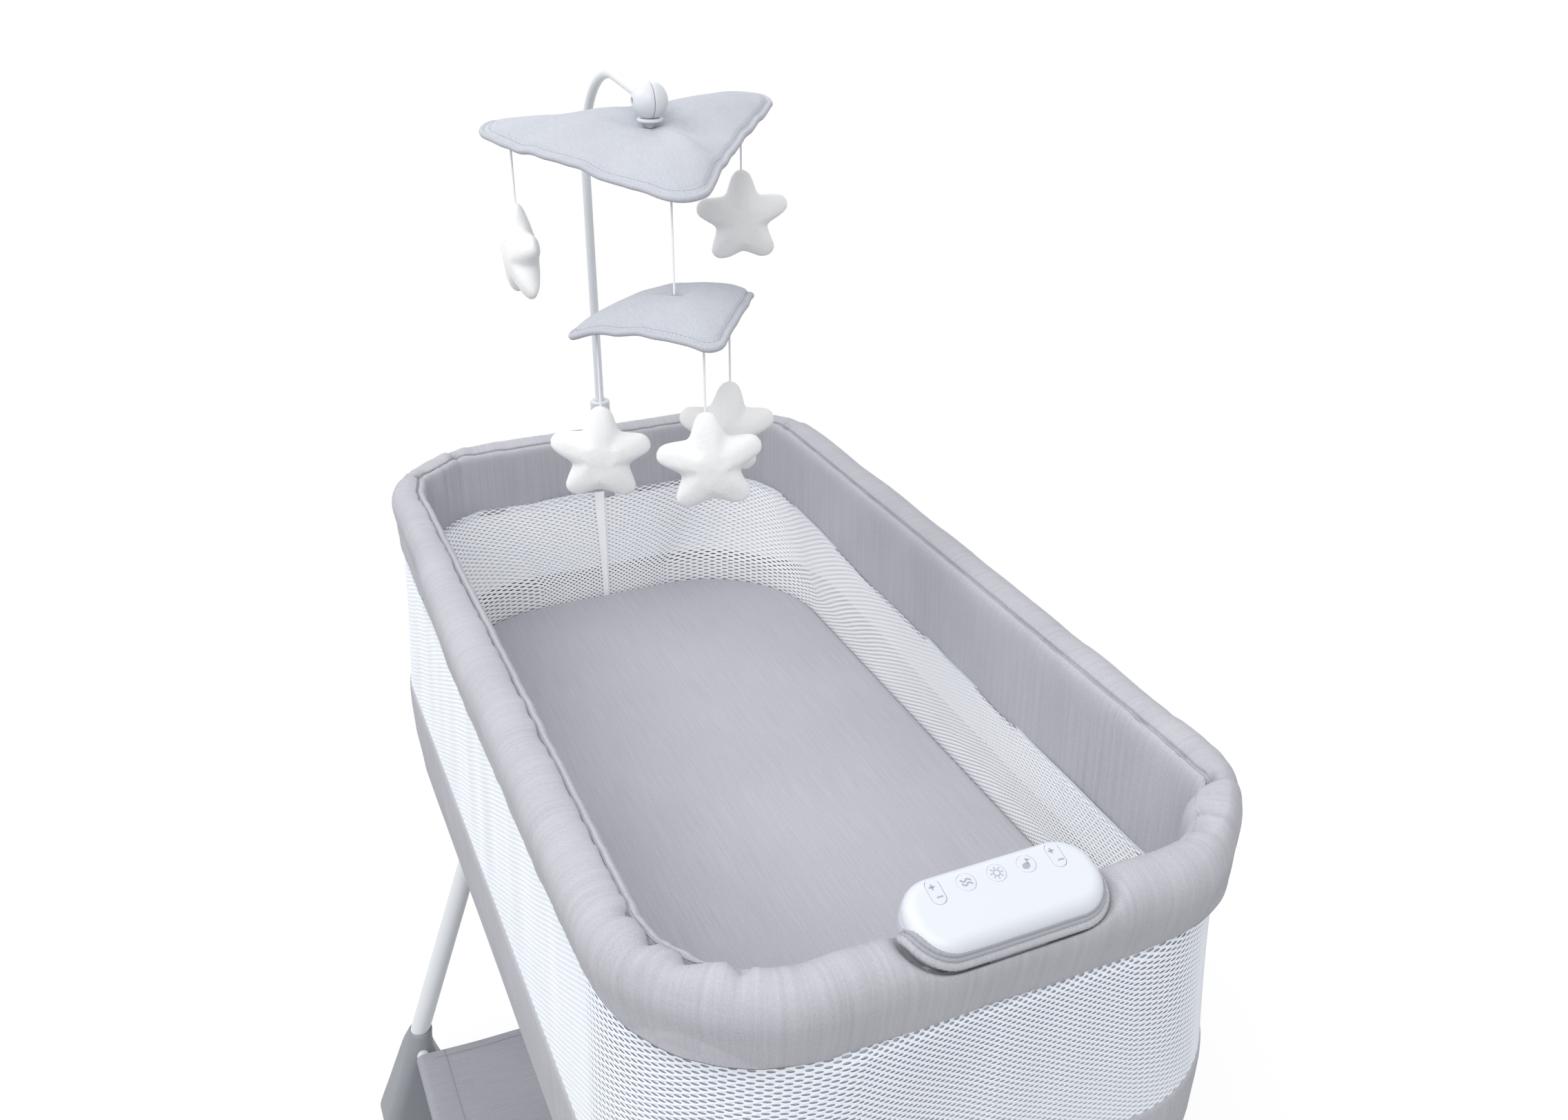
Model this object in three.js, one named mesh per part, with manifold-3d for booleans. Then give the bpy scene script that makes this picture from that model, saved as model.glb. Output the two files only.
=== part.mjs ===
// Bassinet on a splayed tube stand: padded rim, mesh walls, mattress, storage sling,
// a hanging mobile with stars, and a control pod on the foot-end rim.
// Millimetres, +Z up, +Y towards the head end that carries the mobile.
// The origin is on the floor under the middle of the basket.
import * as THREE from 'three';
import Module from 'manifold-3d';
import { mergeVertices } from 'three/addons/utils/BufferGeometryUtils.js';

const wasm = await Module();
wasm.setup();

// ---------------------------------------------------------------- driving dimensions
const GAP = 0.3; // between two pieces that touch
const RUN_GAP = 0.35; // around a piece that moves in its hole

// Rim: the tube inside the padded roll. The seam is the stitched line on its inner top edge.
const RIM_HEIGHT = 765; // seam above the floor
const RIM_HALF_WIDTH = 235; // tube centre line
const RIM_HALF_LENGTH = 460;
const RIM_CORNER = 107;
const RIM_TUBE_RADIUS = 9.5;
const RIM_TUBE_DROP = 24; // tube centre below the seam
const TUBE_WALL = 1.2;
const PAD_OVER_TUBE = 22; // foam and fabric on top of the tube
const BAND_THICKNESS = 4;
const OUTER_BAND_DROP = 56; // outer band's lower edge below the seam
const INNER_BAND_DROP = 77;
const ROLL_INSIDE = 24; // inner face of the roll from the tube's centre line
const ROLL_OUTSIDE = 20;
const BAND_TUCK = 8; // the outer band's lower edge sits this far inside the roll's side
const BAND_CORNER_EXTRA = 25; // the band's lower edge cuts its corners rounder

// Mattress and what it lies on
const MATTRESS_DROP = 207; // mattress top below the seam
const MATTRESS_THICKNESS = 28;
const MATTRESS_SIDE_ROOM = 16.5; // mattress edge inside the rim tube's centre line
const MATTRESS_END_ROOM = 31.5;
const MATTRESS_CORNER = 140;
const SHEET_THICKNESS = 0.8;
const BOARD_THICKNESS = 4;
const FLOOR_PANEL_THICKNESS = 1.8;
const FLOOR_PANEL_SIDE = 60; // height of the floor panel's turned-up side
const MESH_THICKNESS = 1.6;
const MESH_OVER_BAND = 7; // inner mesh laps over the inner band by this much
const MESH_UNDER_BAND = 10; // outer mesh goes up behind the outer band by this much

// Lower frame and the fabric band around it
const LOWER_WIDER = 8.6; // each side of the lower frame beyond the rim
const LOWER_SHORTER = 2; // each end inside the rim
const LOWER_CORNER = 118;
const LOWER_BAND_THICKNESS = 2.4;
const LOWER_BAND_RISE = 22.2; // above the lower tube's centre
const LOWER_BAND_DROP = 95.8; // below it
const LOWER_BAND_TUCK = 4; // the band's top edge leans in to the mesh
const MESH_WAIST_DROP = 190; // where the stretched outer mesh is narrowest
const MESH_WAIST_PULL = 2;
const UPRIGHT_RADIUS = 5;
const UPRIGHT_INSET = 4; // inside the rim tube's centre line

// Stand
const CROSS_RAIL_Y = 250; // the leg frames stand at plus and minus this
const LEG_RADIUS = 11;
const LEG_CUP_HALF_SPREAD = 310.4; // leg axis from the middle at the cup's height
const LEG_CUP_HEIGHT = 127;
const LEG_SPLAY = 0.3566; // sideways per unit of height
const LEG_IN_HOUSING = 52;
const SOCKET_BLOCK_LENGTH = 60;
const SOCKET_BLOCK_WIDTH = 34;
const SOCKET_WALL = 4.5;
const SOCKET_DEPTH = 46;
const SHELF_RAIL_RADIUS = 7;
const SHELF_RAIL_OUT = 3.6; // rail beyond the leg's place at the cup
const SHELF_RAIL_HEIGHT = 104;
const SHELF_RAIL_END_WALL = 1.2; // housing wall left between rail end and leg
const SLING_HALF_LENGTH = 222;
const SLING_THICKNESS = 1.4;
const SLING_SAG = 12;

// Mobile
const POLE_X = 10;
const POLE_RADIUS = 4.8;
const SOCKET_SLEEVE_RADIUS = 10.5;
const SOCKET_SLEEVE_TOP = 41; // above the seam
const SOCKET_SLEEVE_LENGTH = 89;
const POLE_DEPTH = 53; // pole inside the sleeve
const POLE_BEND_HEIGHT = 300; // above the seam, where the arch starts
const POLE_BEND_RADIUS = 115;
const HUB_REACH = 220.7; // from the pole in over the cot
const HUB_HEIGHT = 406; // ball centre above the seam
const HUB_RADIUS = 17;
const ARM_END_FROM_HUB = 6;
const HUB_SCREW_RADIUS = 1.5;
const HUB_SCREW_HEAD_RADIUS = 3;
const SPINDLE_PIN_RADIUS = 2.4;
const SPINDLE_FLANGE_RADIUS = 12;
const UPPER_CANOPY_RADIUS = 160; // middle to corner
const UPPER_CANOPY_CORNERS = [-98, 27, 149]; // degrees, the way each corner points
const UPPER_CANOPY_DROOP = 11.3;
const UPPER_CANOPY_TILT_X = 0.045;
const UPPER_CANOPY_TILT_Y = 0.119;
const LOWER_CANOPY_LEFT = 25; // sideways from the hub
const LOWER_CANOPY_REACH = 122; // from the hub towards the foot
const LOWER_CANOPY_TOP = 262; // above the seam
const LOWER_CANOPY_RADIUS = 95;
const LOWER_CANOPY_CORNERS = [-90, 25, 152];
const LOWER_CANOPY_DROOP = 24;
const LOWER_CANOPY_TILT_X = 0.1;
const LOWER_CANOPY_TILT_Y = -0.08;
const CANOPY_EDGE = 7; // thickness of the piped edge
const CANOPY_MIDDLE = 13;
const CANOPY_COLLAR = 8; // radius of the flat round the hole
const STRING_RADIUS = 1;
const STRING_GAP = 0.7; // string top to the cloth above it
const STAR_RADIUS = 46.5;
const STAR_VALLEY = 25;
const STAR_THICKNESS = 32;

// Control pod, in its own tilted frame: x along the rim, y inwards, z out of its face
const POD_X = 2;
const POD_INSET = 6; // middle of the face inside the rim tube's centre line
const POD_OVER_SEAM = 19.6;
const POD_TILT = 17; // degrees, face leaning outwards
const POD_HALF_LENGTH = 71;
const POD_HALF_WIDTH = 28;
const POD_CORNER = 26;
const POD_COVER_DEPTH = 12;
const POD_DEPTH = 30;
const POD_WALL = 2;
const BUTTON_PITCH = 22.5;
const BUTTON_ROW_Y = 13.5;
const BUTTON_RADIUS = 6.6;
const ROCKER_HALF_LENGTH = 9.6;
const ROCKER_RADIUS = 5;
const BUTTON_PROUD = 0.5;
const BUTTON_HEIGHT = 7.5;
const BOARD_TOP = -8.9; // below the pod's face
const BOARD_THICK = 1.6;

// ---------------------------------------------------------------- finishes
const finish = (color, roughness, metalness = 0) =>
  new THREE.MeshStandardMaterial({ color, roughness, metalness });
const FABRIC = finish(0xb4b5b9, 0.95);
const SHEET = finish(0xb2b2b6, 0.95);
const MESH_CLOTH = finish(0xe8ecf2, 0.9);
const CANOPY_CLOTH = finish(0xc2c4ca, 0.95);
const PLUSH = finish(0xf2f2f0, 1);
const CORD = finish(0xf0f0f0, 0.9);
const WHITE_PAINT = finish(0xe6e8ea, 0.35);
const WHITE_PLASTIC = finish(0xeff1f5, 0.3);
const GREY_PLASTIC = finish(0x80858a, 0.55);
const DARK_PLASTIC = finish(0x9a9da1, 0.6);
const STEEL = finish(0xb8bbbe, 0.4, 0.8);
const FOAM = finish(0xe9e7e2, 0.95);
const HARDBOARD = finish(0xb39a78, 0.8);
const CIRCUIT = finish(0x2f6b46, 0.6);

// ---------------------------------------------------------------- helpers
const radians = (degrees) => (degrees * Math.PI) / 180;
const seamHeight = (above) => RIM_HEIGHT + above;

// Turns points and triangles into one closed geometry with its faces pointing out.
function closedGeometry(points, triangles) {
  let volume = 0;
  const a = new THREE.Vector3();
  const b = new THREE.Vector3();
  for (const [i, j, k] of triangles) {
    a.copy(points[i]);
    b.copy(points[j]);
    volume += a.dot(b.cross(points[k]));
  }
  const order = volume > 0 ? (t) => t : ([i, j, k]) => [i, k, j];
  const geometry = new THREE.BufferGeometry();
  geometry.setFromPoints(points);
  geometry.setIndex(triangles.flatMap(order));
  geometry.computeVertexNormals();
  return geometry;
}

// Joins loops of equally many points side by side. A closed loft meets its first loop again;
// an open one is capped at both ends by a fan about the loop's middle.
function loft(loops, closed) {
  const count = loops[0].length;
  const points = loops.flat();
  const triangles = [];
  const last = closed ? loops.length : loops.length - 1;
  for (let row = 0; row < last; row++) {
    const next = (row + 1) % loops.length;
    for (let i = 0; i < count; i++) {
      const j = (i + 1) % count;
      triangles.push([row * count + i, row * count + j, next * count + j]);
      triangles.push([row * count + i, next * count + j, next * count + i]);
    }
  }
  if (!closed) {
    for (const row of [0, loops.length - 1]) {
      const middle = new THREE.Vector3();
      loops[row].forEach((p) => middle.addScaledVector(p, 1 / count));
      points.push(middle);
      for (let i = 0; i < count; i++) {
        const edge = [row * count + i, row * count + ((i + 1) % count)];
        triangles.push(row === 0 ? [edge[1], edge[0], points.length - 1] : [...edge, points.length - 1]);
      }
    }
  }
  return closedGeometry(points, triangles);
}

const plan = (a, b, r) => ({ a, b, r });
const grow = (p, by, extra = 0) => plan(p.a + by, p.b + by, Math.max(p.r + by + extra, 0.5));

// A rounded rectangle at height z about (cx, cy).
function roundedLoop(p, z, cx = 0, cy = 0, steps = 6) {
  const points = [];
  const r = Math.min(p.r, p.a - 0.1, p.b - 0.1);
  for (const [sx, sy, start] of [[1, 1, 0], [-1, 1, 90], [-1, -1, 180], [1, -1, 270]]) {
    for (let i = 0; i <= steps; i++) {
      const angle = radians(start + (90 * i) / steps);
      const x = cx + sx * (p.a - r) + r * Math.cos(angle);
      const y = cy + sy * (p.b - r) + r * Math.sin(angle);
      points.push(new THREE.Vector3(x, y, z));
    }
  }
  return points;
}

// A round bar or pipe along points in one plane, with flat ends.
function pipe(points, planeNormal, radius, bore = 0, sides = 12) {
  const rings = [];
  points.forEach((p, i) => {
    const before = points[Math.max(i - 1, 0)];
    const after = points[Math.min(i + 1, points.length - 1)];
    const tangent = after.clone().sub(before).normalize();
    const side = planeNormal.clone().cross(tangent).normalize();
    const ring = (r) =>
      Array.from({ length: sides }, (_, k) => {
        const angle = (2 * Math.PI * k) / sides;
        return p
          .clone()
          .addScaledVector(side, r * Math.cos(angle))
          .addScaledVector(planeNormal, r * Math.sin(angle));
      });
    rings.push({ outer: ring(radius), inner: bore ? ring(bore) : null });
  });
  if (!bore) return loft(rings.map((r) => r.outer), false);
  const inside = rings.map((r) => r.inner).reverse();
  return loft([...rings.map((r) => r.outer), ...inside], true);
}

const rod = (from, to, radius, bore = 0, sides = 16) => {
  const along = to.clone().sub(from).normalize();
  const normal = Math.abs(along.y) < 0.9 ? new THREE.Vector3(0, 1, 0) : new THREE.Vector3(0, 0, 1);
  normal.addScaledVector(along, -normal.dot(along)).normalize();
  return pipe([from, to], normal, radius, bore, sides);
};

const at = (x, y, z) => new THREE.Vector3(x, y, z);

function box(x0, x1, y0, y1, z0, z1) {
  const geometry = new THREE.BoxGeometry(x1 - x0, y1 - y0, z1 - z0);
  return geometry.translate((x0 + x1) / 2, (y0 + y1) / 2, (z0 + z1) / 2);
}

function toSolid(geometry) {
  const bare = geometry.clone();
  bare.deleteAttribute('normal');
  bare.deleteAttribute('uv');
  const merged = mergeVertices(bare, 1e-4);
  const vertProperties = Float32Array.from(merged.attributes.position.array);
  const triVerts = Uint32Array.from(merged.index.array);
  return new wasm.Manifold(new wasm.Mesh({ numProp: 3, vertProperties, triVerts }));
}

function toGeometry(solid) {
  const mesh = solid.getMesh();
  const geometry = new THREE.BufferGeometry();
  geometry.setAttribute('position', new THREE.BufferAttribute(mesh.vertProperties, 3));
  geometry.setIndex(new THREE.BufferAttribute(mesh.triVerts, 1));
  geometry.computeVertexNormals();
  return geometry;
}

const cut = (geometry, ...tools) =>
  toGeometry(tools.reduce((left, tool) => left.subtract(toSolid(tool)), toSolid(geometry)));
const join = (first, ...others) =>
  toGeometry(others.reduce((sum, next) => sum.add(toSolid(next)), toSolid(first)));

function piece(name, geometry, material) {
  const mesh = new THREE.Mesh(geometry, material);
  mesh.name = name;
  return mesh;
}

const SIDES = [['left', -1], ['right', 1]];
const ENDS = [['foot', -1], ['head', 1]];

// ---------------------------------------------------------------- shared levels and plans
const RIM_PLAN = plan(RIM_HALF_WIDTH, RIM_HALF_LENGTH, RIM_CORNER);
const RIM_TUBE_Z = seamHeight(-RIM_TUBE_DROP);
const MATTRESS_PLAN = plan(
  RIM_HALF_WIDTH - MATTRESS_SIDE_ROOM,
  RIM_HALF_LENGTH - MATTRESS_END_ROOM,
  MATTRESS_CORNER,
);
const MATTRESS_TOP = seamHeight(-MATTRESS_DROP);
const MATTRESS_BOTTOM = MATTRESS_TOP - MATTRESS_THICKNESS;
const SHEET_PLAN = grow(MATTRESS_PLAN, GAP + SHEET_THICKNESS);
const BOARD_TOP_Z = MATTRESS_BOTTOM - GAP;
const PANEL_TOP = BOARD_TOP_Z - BOARD_THICKNESS - GAP;
const PANEL_BOTTOM = PANEL_TOP - FLOOR_PANEL_THICKNESS;
const INNER_MESH_PLAN = grow(SHEET_PLAN, GAP + MESH_THICKNESS); // outer face at mattress level
const PANEL_PLAN = grow(INNER_MESH_PLAN, GAP + FLOOR_PANEL_THICKNESS);
const LOWER_HALF_WIDTH = RIM_HALF_WIDTH + LOWER_WIDER;
const LOWER_PLAN = plan(LOWER_HALF_WIDTH, RIM_HALF_LENGTH - LOWER_SHORTER, LOWER_CORNER);
const LOWER_TUBE_Z = PANEL_BOTTOM - GAP - RIM_TUBE_RADIUS;
const BAND_INSIDE = grow(LOWER_PLAN, RIM_TUBE_RADIUS + GAP);
const POLE_Y = RIM_HALF_LENGTH - RIM_TUBE_RADIUS - GAP - SOCKET_SLEEVE_RADIUS;
const HUB_Y = POLE_Y - HUB_REACH;
const LOWER_CANOPY_X = POLE_X - LOWER_CANOPY_LEFT;
const LOWER_CANOPY_Y = HUB_Y - LOWER_CANOPY_REACH;
const POD_Y = POD_INSET - RIM_HALF_LENGTH;
const POD_HEIGHT = seamHeight(POD_OVER_SEAM);
const SHELF_RAIL_HALF_SPREAD = LEG_CUP_HALF_SPREAD + SHELF_RAIL_OUT;
const legX = (z) => LEG_CUP_HALF_SPREAD + LEG_SPLAY * (LEG_CUP_HEIGHT - z);

// ---------------------------------------------------------------- tube frames
// Half of a rounded-rectangle tube, from one side's middle round an end to the other side.
function halfFrame(p, z, end) {
  const points = [at(p.a, (end * GAP) / 2, z)];
  const steps = 6;
  for (const [sx, start] of [[1, 0], [-1, 90]]) {
    for (let i = 0; i <= steps; i++) {
      const angle = radians(start + (90 * i) / steps);
      const x = sx * (p.a - p.r) + p.r * Math.cos(angle);
      points.push(at(x, end * (p.b - p.r + p.r * Math.sin(angle)), z));
    }
  }
  points.push(at(-p.a, (end * GAP) / 2, z));
  return pipe(points, at(0, 0, 1), RIM_TUBE_RADIUS, RIM_TUBE_RADIUS - TUBE_WALL);
}

function basketFrame() {
  const group = new THREE.Group();
  for (const [endName, end] of ENDS) {
    group.add(piece(`rim_tube_${endName}`, halfFrame(RIM_PLAN, RIM_TUBE_Z, end), WHITE_PAINT));
    group.add(piece(`lower_tube_${endName}`, halfFrame(LOWER_PLAN, LOWER_TUBE_Z, end), WHITE_PAINT));
    const x = end > 0 ? POLE_X : 0;
    const y = end * (RIM_HALF_LENGTH - UPRIGHT_INSET);
    const low = at(x, y, LOWER_TUBE_Z + RIM_TUBE_RADIUS + GAP);
    const high = at(x, y, RIM_TUBE_Z - RIM_TUBE_RADIUS - GAP);
    group.add(piece(`upright_${endName}`, rod(low, high, UPRIGHT_RADIUS, 0, 12), WHITE_PAINT));
    const reach = LOWER_HALF_WIDTH - RIM_TUBE_RADIUS - GAP;
    const railY = end * CROSS_RAIL_Y;
    const rail = rod(
      at(-reach, railY, LOWER_TUBE_Z),
      at(reach, railY, LOWER_TUBE_Z),
      RIM_TUBE_RADIUS,
      RIM_TUBE_RADIUS - TUBE_WALL,
      12,
    );
    group.add(piece(`cross_rail_${endName}`, rail, WHITE_PAINT));
  }
  return group;
}

// ---------------------------------------------------------------- stand
const LEG_TOP_Z = LOWER_TUBE_Z - RIM_TUBE_RADIUS - SOCKET_WALL;
const LEG_FOOT_Z = LEG_CUP_HEIGHT - LEG_IN_HOUSING;

// Sections of the moulded foot: height, outer and inner face from the leg's axis,
// half depth along the basket, corner radius.
const HOUSING_SECTIONS = [
  [0, 12.3, -92, 30, 11],
  [5, 15.6, -92, 32, 13],
  [18, 15.6, -80, 31, 14],
  [45, 15, -58, 28, 14],
  [75, 14.6, -37, 25, 14],
  [LEG_CUP_HEIGHT - 23, 14.2, -20, 22, 14],
  [LEG_CUP_HEIGHT - 12, 13.8, -15, 19, 13.5],
  [LEG_CUP_HEIGHT, 13.6, -13.9, 14, 13.4],
];
const RAIL_SECTION_DEPTH = HOUSING_SECTIONS[5][3];

function legHousing(side, end) {
  const loops = HOUSING_SECTIONS.map(([z, outer, inner, halfDepth, corner]) => {
    const x = legX(z);
    const halfX = (outer - inner) / 2;
    const middle = side * (x + (outer + inner) / 2);
    return roundedLoop(plan(halfX, halfDepth, corner), z, middle, end * CROSS_RAIL_Y, 4);
  });
  const foot = at(side * legX(LEG_FOOT_Z - GAP), end * CROSS_RAIL_Y, LEG_FOOT_Z - GAP);
  const above = LEG_CUP_HEIGHT + 20;
  const legBore = rod(foot, at(side * legX(above), end * CROSS_RAIL_Y, above), LEG_RADIUS + GAP);
  const railX = side * SHELF_RAIL_HALF_SPREAD;
  const railBore = rod(
    at(railX, end * (CROSS_RAIL_Y - 2 * RAIL_SECTION_DEPTH), SHELF_RAIL_HEIGHT),
    at(railX, end * (railEnd() + GAP), SHELF_RAIL_HEIGHT),
    SHELF_RAIL_RADIUS + GAP,
    0,
    12,
  );
  return cut(loft(loops, false), legBore, railBore);
}

const railEnd = () => CROSS_RAIL_Y - LEG_RADIUS - GAP - SHELF_RAIL_END_WALL;

function legSocket(side, end) {
  const y = end * CROSS_RAIL_Y;
  const x = side * legX(LEG_TOP_Z);
  const half = SOCKET_BLOCK_LENGTH / 2;
  const wide = SOCKET_BLOCK_WIDTH / 2;
  const low = LEG_TOP_Z - SOCKET_WALL - 8;
  const high = LOWER_TUBE_Z + RIM_TUBE_RADIUS;
  const block = box(x - half, x + half, y - wide, y + wide, low, high);
  const mouth = LEG_TOP_Z - SOCKET_DEPTH;
  const sleeve = rod(
    at(side * legX(mouth), y, mouth),
    at(side * legX(LEG_TOP_Z), y, LEG_TOP_Z),
    LEG_RADIUS + SOCKET_WALL,
  );
  const legBore = rod(
    at(side * legX(mouth - 20), y, mouth - 20),
    at(side * legX(LEG_TOP_Z + GAP), y, LEG_TOP_Z + GAP),
    LEG_RADIUS + GAP,
  );
  const railBore = rod(
    at(x - 2 * half, y, LOWER_TUBE_Z),
    at(x + 2 * half, y, LOWER_TUBE_Z),
    RIM_TUBE_RADIUS + GAP,
    0,
    12,
  );
  return cut(join(block, sleeve), legBore, railBore);
}

function shelfSling() {
  const hole = SHELF_RAIL_RADIUS + GAP;
  const sleeve = hole + SLING_THICKNESS;
  const spread = SHELF_RAIL_HALF_SPREAD;
  const rise = Math.asin((sleeve - SLING_THICKNESS) / sleeve);
  const sag = (x) => sleeve - SLING_SAG * (1 - (x / spread) ** 2);
  const shape = new THREE.Shape();
  const steps = 11; // odd, so that the middle of the shelf is flat
  shape.moveTo(spread, sleeve);
  for (let i = 1; i <= steps; i++) {
    const x = spread - (2 * spread * i) / steps;
    shape.lineTo(x, sag(x));
  }
  shape.absarc(-spread, 0, sleeve, Math.PI / 2, 2 * Math.PI + rise, false);
  for (let i = 1; i < steps; i++) {
    const x = -spread + (2 * spread * i) / steps;
    shape.lineTo(x, sag(x) - SLING_THICKNESS);
  }
  shape.absarc(spread, 0, sleeve, Math.PI - rise, 2.5 * Math.PI, false);
  for (const x of [-spread, spread]) {
    const ring = new THREE.Path();
    ring.absarc(x, 0, hole, 0, 2 * Math.PI, true);
    shape.holes.push(ring);
  }
  const length = 2 * SLING_HALF_LENGTH;
  const geometry = new THREE.ExtrudeGeometry(shape, { depth: length, bevelEnabled: false, curveSegments: 14 });
  geometry.rotateX(Math.PI / 2);
  return geometry.translate(0, length / 2, SHELF_RAIL_HEIGHT);
}

function stand() {
  const group = new THREE.Group();
  for (const [endName, end] of ENDS) {
    for (const [sideName, side] of SIDES) {
      const corner = `${endName}_${sideName}`;
      const y = end * CROSS_RAIL_Y;
      const foot = at(side * legX(LEG_FOOT_Z), y, LEG_FOOT_Z);
      const top = at(side * legX(LEG_TOP_Z), y, LEG_TOP_Z);
      const leg = rod(foot, top, LEG_RADIUS, LEG_RADIUS - TUBE_WALL);
      group.add(piece(`leg_tube_${corner}`, leg, WHITE_PAINT));
      group.add(piece(`leg_housing_${corner}`, legHousing(side, end), GREY_PLASTIC));
      group.add(piece(`leg_socket_${corner}`, legSocket(side, end), DARK_PLASTIC));
    }
  }
  for (const [sideName, side] of SIDES) {
    const x = side * SHELF_RAIL_HALF_SPREAD;
    const rail = rod(
      at(x, -railEnd(), SHELF_RAIL_HEIGHT),
      at(x, railEnd(), SHELF_RAIL_HEIGHT),
      SHELF_RAIL_RADIUS,
      SHELF_RAIL_RADIUS - TUBE_WALL,
      12,
    );
    group.add(piece(`shelf_rail_${sideName}`, rail, WHITE_PAINT));
  }
  group.add(piece('shelf_sling', shelfSling(), FABRIC));
  return group;
}

// ---------------------------------------------------------------- soft basket
// The padded rim cover in section: offset from the tube's centre line outwards, height over it,
// and how much rounder than the tube's its corners are.
function rimCoverSection() {
  const outerEdge = RIM_TUBE_DROP - OUTER_BAND_DROP;
  const innerEdge = RIM_TUBE_DROP - INNER_BAND_DROP;
  const under = RIM_TUBE_RADIUS + GAP;
  const crown = RIM_TUBE_RADIUS + PAD_OVER_TUBE;
  return [
    [ROLL_OUTSIDE - BAND_TUCK, outerEdge, BAND_CORNER_EXTRA],
    [ROLL_OUTSIDE - 3, -16, BAND_CORNER_EXTRA],
    [ROLL_OUTSIDE, 2, 18],
    [ROLL_OUTSIDE - 0.5, 12, 18],
    [ROLL_OUTSIDE - 4.5, 22.5, 14],
    [ROLL_OUTSIDE - 12, crown - 2.5, 8],
    [-3, crown, 3],
    [-14, crown - 2.5, 0],
    [3 - ROLL_INSIDE, RIM_TUBE_DROP + 1, 0],
    [-ROLL_INSIDE, 14, 0],
    [1 - ROLL_INSIDE, innerEdge, 0],
    [1 - ROLL_INSIDE + BAND_THICKNESS, innerEdge, 0],
    [2 - ROLL_INSIDE + BAND_THICKNESS, -4, 0],
    [-under - 4, under - 4, 0],
    [-under, under, 0],
    [under - 3, under, 0],
    [under + 3, under - 5, 7],
    [under + 3.2, -6, 7],
    [bandFaceOffset(), outerEdge, BAND_CORNER_EXTRA],
  ];
}

const bandFaceOffset = () => ROLL_OUTSIDE - BAND_TUCK - BAND_THICKNESS;

function rimCover() {
  const loops = rimCoverSection().map(([out, up, extra]) =>
    roundedLoop(grow(RIM_PLAN, out, extra), RIM_TUBE_Z + up));
  const poleCut = rod(
    at(POLE_X, POLE_Y, RIM_TUBE_Z - SOCKET_SLEEVE_LENGTH),
    at(POLE_X, POLE_Y, RIM_TUBE_Z + SOCKET_SLEEVE_LENGTH),
    SOCKET_SLEEVE_RADIUS + 2 * GAP,
  );
  const podCut = join(podBody(-POD_DEPTH - GAP, 2 * POD_DEPTH, 2 * GAP), podClip(2 * GAP));
  podCut.applyMatrix4(podMatrix());
  return cut(loft(loops, true), poleCut, podCut);
}

function outerMesh() {
  const bandFace = grow(RIM_PLAN, bandFaceOffset() - GAP, BAND_CORNER_EXTRA);
  const foot = grow(BAND_INSIDE, -LOWER_BAND_TUCK - GAP);
  const waist = plan(foot.a - MESH_WAIST_PULL, foot.b - GAP, (bandFace.r + foot.r) / 2);
  const footZ = LOWER_TUBE_Z + RIM_TUBE_RADIUS + 2;
  const levels = [
    [grow(bandFace, 1), seamHeight(MESH_UNDER_BAND - OUTER_BAND_DROP)],
    [bandFace, seamHeight(-OUTER_BAND_DROP)],
    [waist, seamHeight(-MESH_WAIST_DROP)],
    [foot, footZ],
  ];
  const outside = levels.map(([p, z]) => roundedLoop(p, z));
  const inside = levels.map(([p, z]) => roundedLoop(grow(p, -MESH_THICKNESS), z)).reverse();
  return loft([...outside, ...inside], true);
}

function innerMesh() {
  const bandFace = grow(RIM_PLAN, 1 - ROLL_INSIDE - GAP);
  const levels = [
    [bandFace, seamHeight(MESH_OVER_BAND - INNER_BAND_DROP)],
    [bandFace, seamHeight(-INNER_BAND_DROP)],
    [INNER_MESH_PLAN, PANEL_BOTTOM + FLOOR_PANEL_SIDE + 1],
    [INNER_MESH_PLAN, PANEL_TOP + GAP],
  ];
  const outside = levels.map(([p, z]) => roundedLoop(p, z));
  const inside = levels.map(([p, z]) => roundedLoop(grow(p, -MESH_THICKNESS), z)).reverse();
  return loft([...outside, ...inside], true);
}

function lowerBand() {
  const bulge = LOWER_TUBE_Z - 4;
  const levels = [
    [grow(BAND_INSIDE, -LOWER_BAND_TUCK), LOWER_TUBE_Z + LOWER_BAND_RISE],
    [BAND_INSIDE, LOWER_TUBE_Z + RIM_TUBE_RADIUS - 4],
    [grow(BAND_INSIDE, 0.8), bulge],
    [grow(BAND_INSIDE, 0.4), LOWER_TUBE_Z - RIM_TUBE_RADIUS - 25],
    [grow(BAND_INSIDE, -5), LOWER_TUBE_Z - LOWER_BAND_DROP],
  ];
  const inside = levels.map(([p, z]) => roundedLoop(p, z)).reverse();
  const outside = levels.map(([p, z]) => roundedLoop(grow(p, LOWER_BAND_THICKNESS), z));
  return loft([...outside, ...inside], true);
}

// The cloth floor with its turned-up side, open at the top.
function floorPanel() {
  const top = PANEL_BOTTOM + FLOOR_PANEL_SIDE;
  const outside = [roundedLoop(PANEL_PLAN, PANEL_BOTTOM), roundedLoop(PANEL_PLAN, top)];
  const inner = grow(PANEL_PLAN, -FLOOR_PANEL_THICKNESS);
  return loft([...outside, roundedLoop(inner, top), roundedLoop(inner, PANEL_TOP)], false);
}

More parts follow.
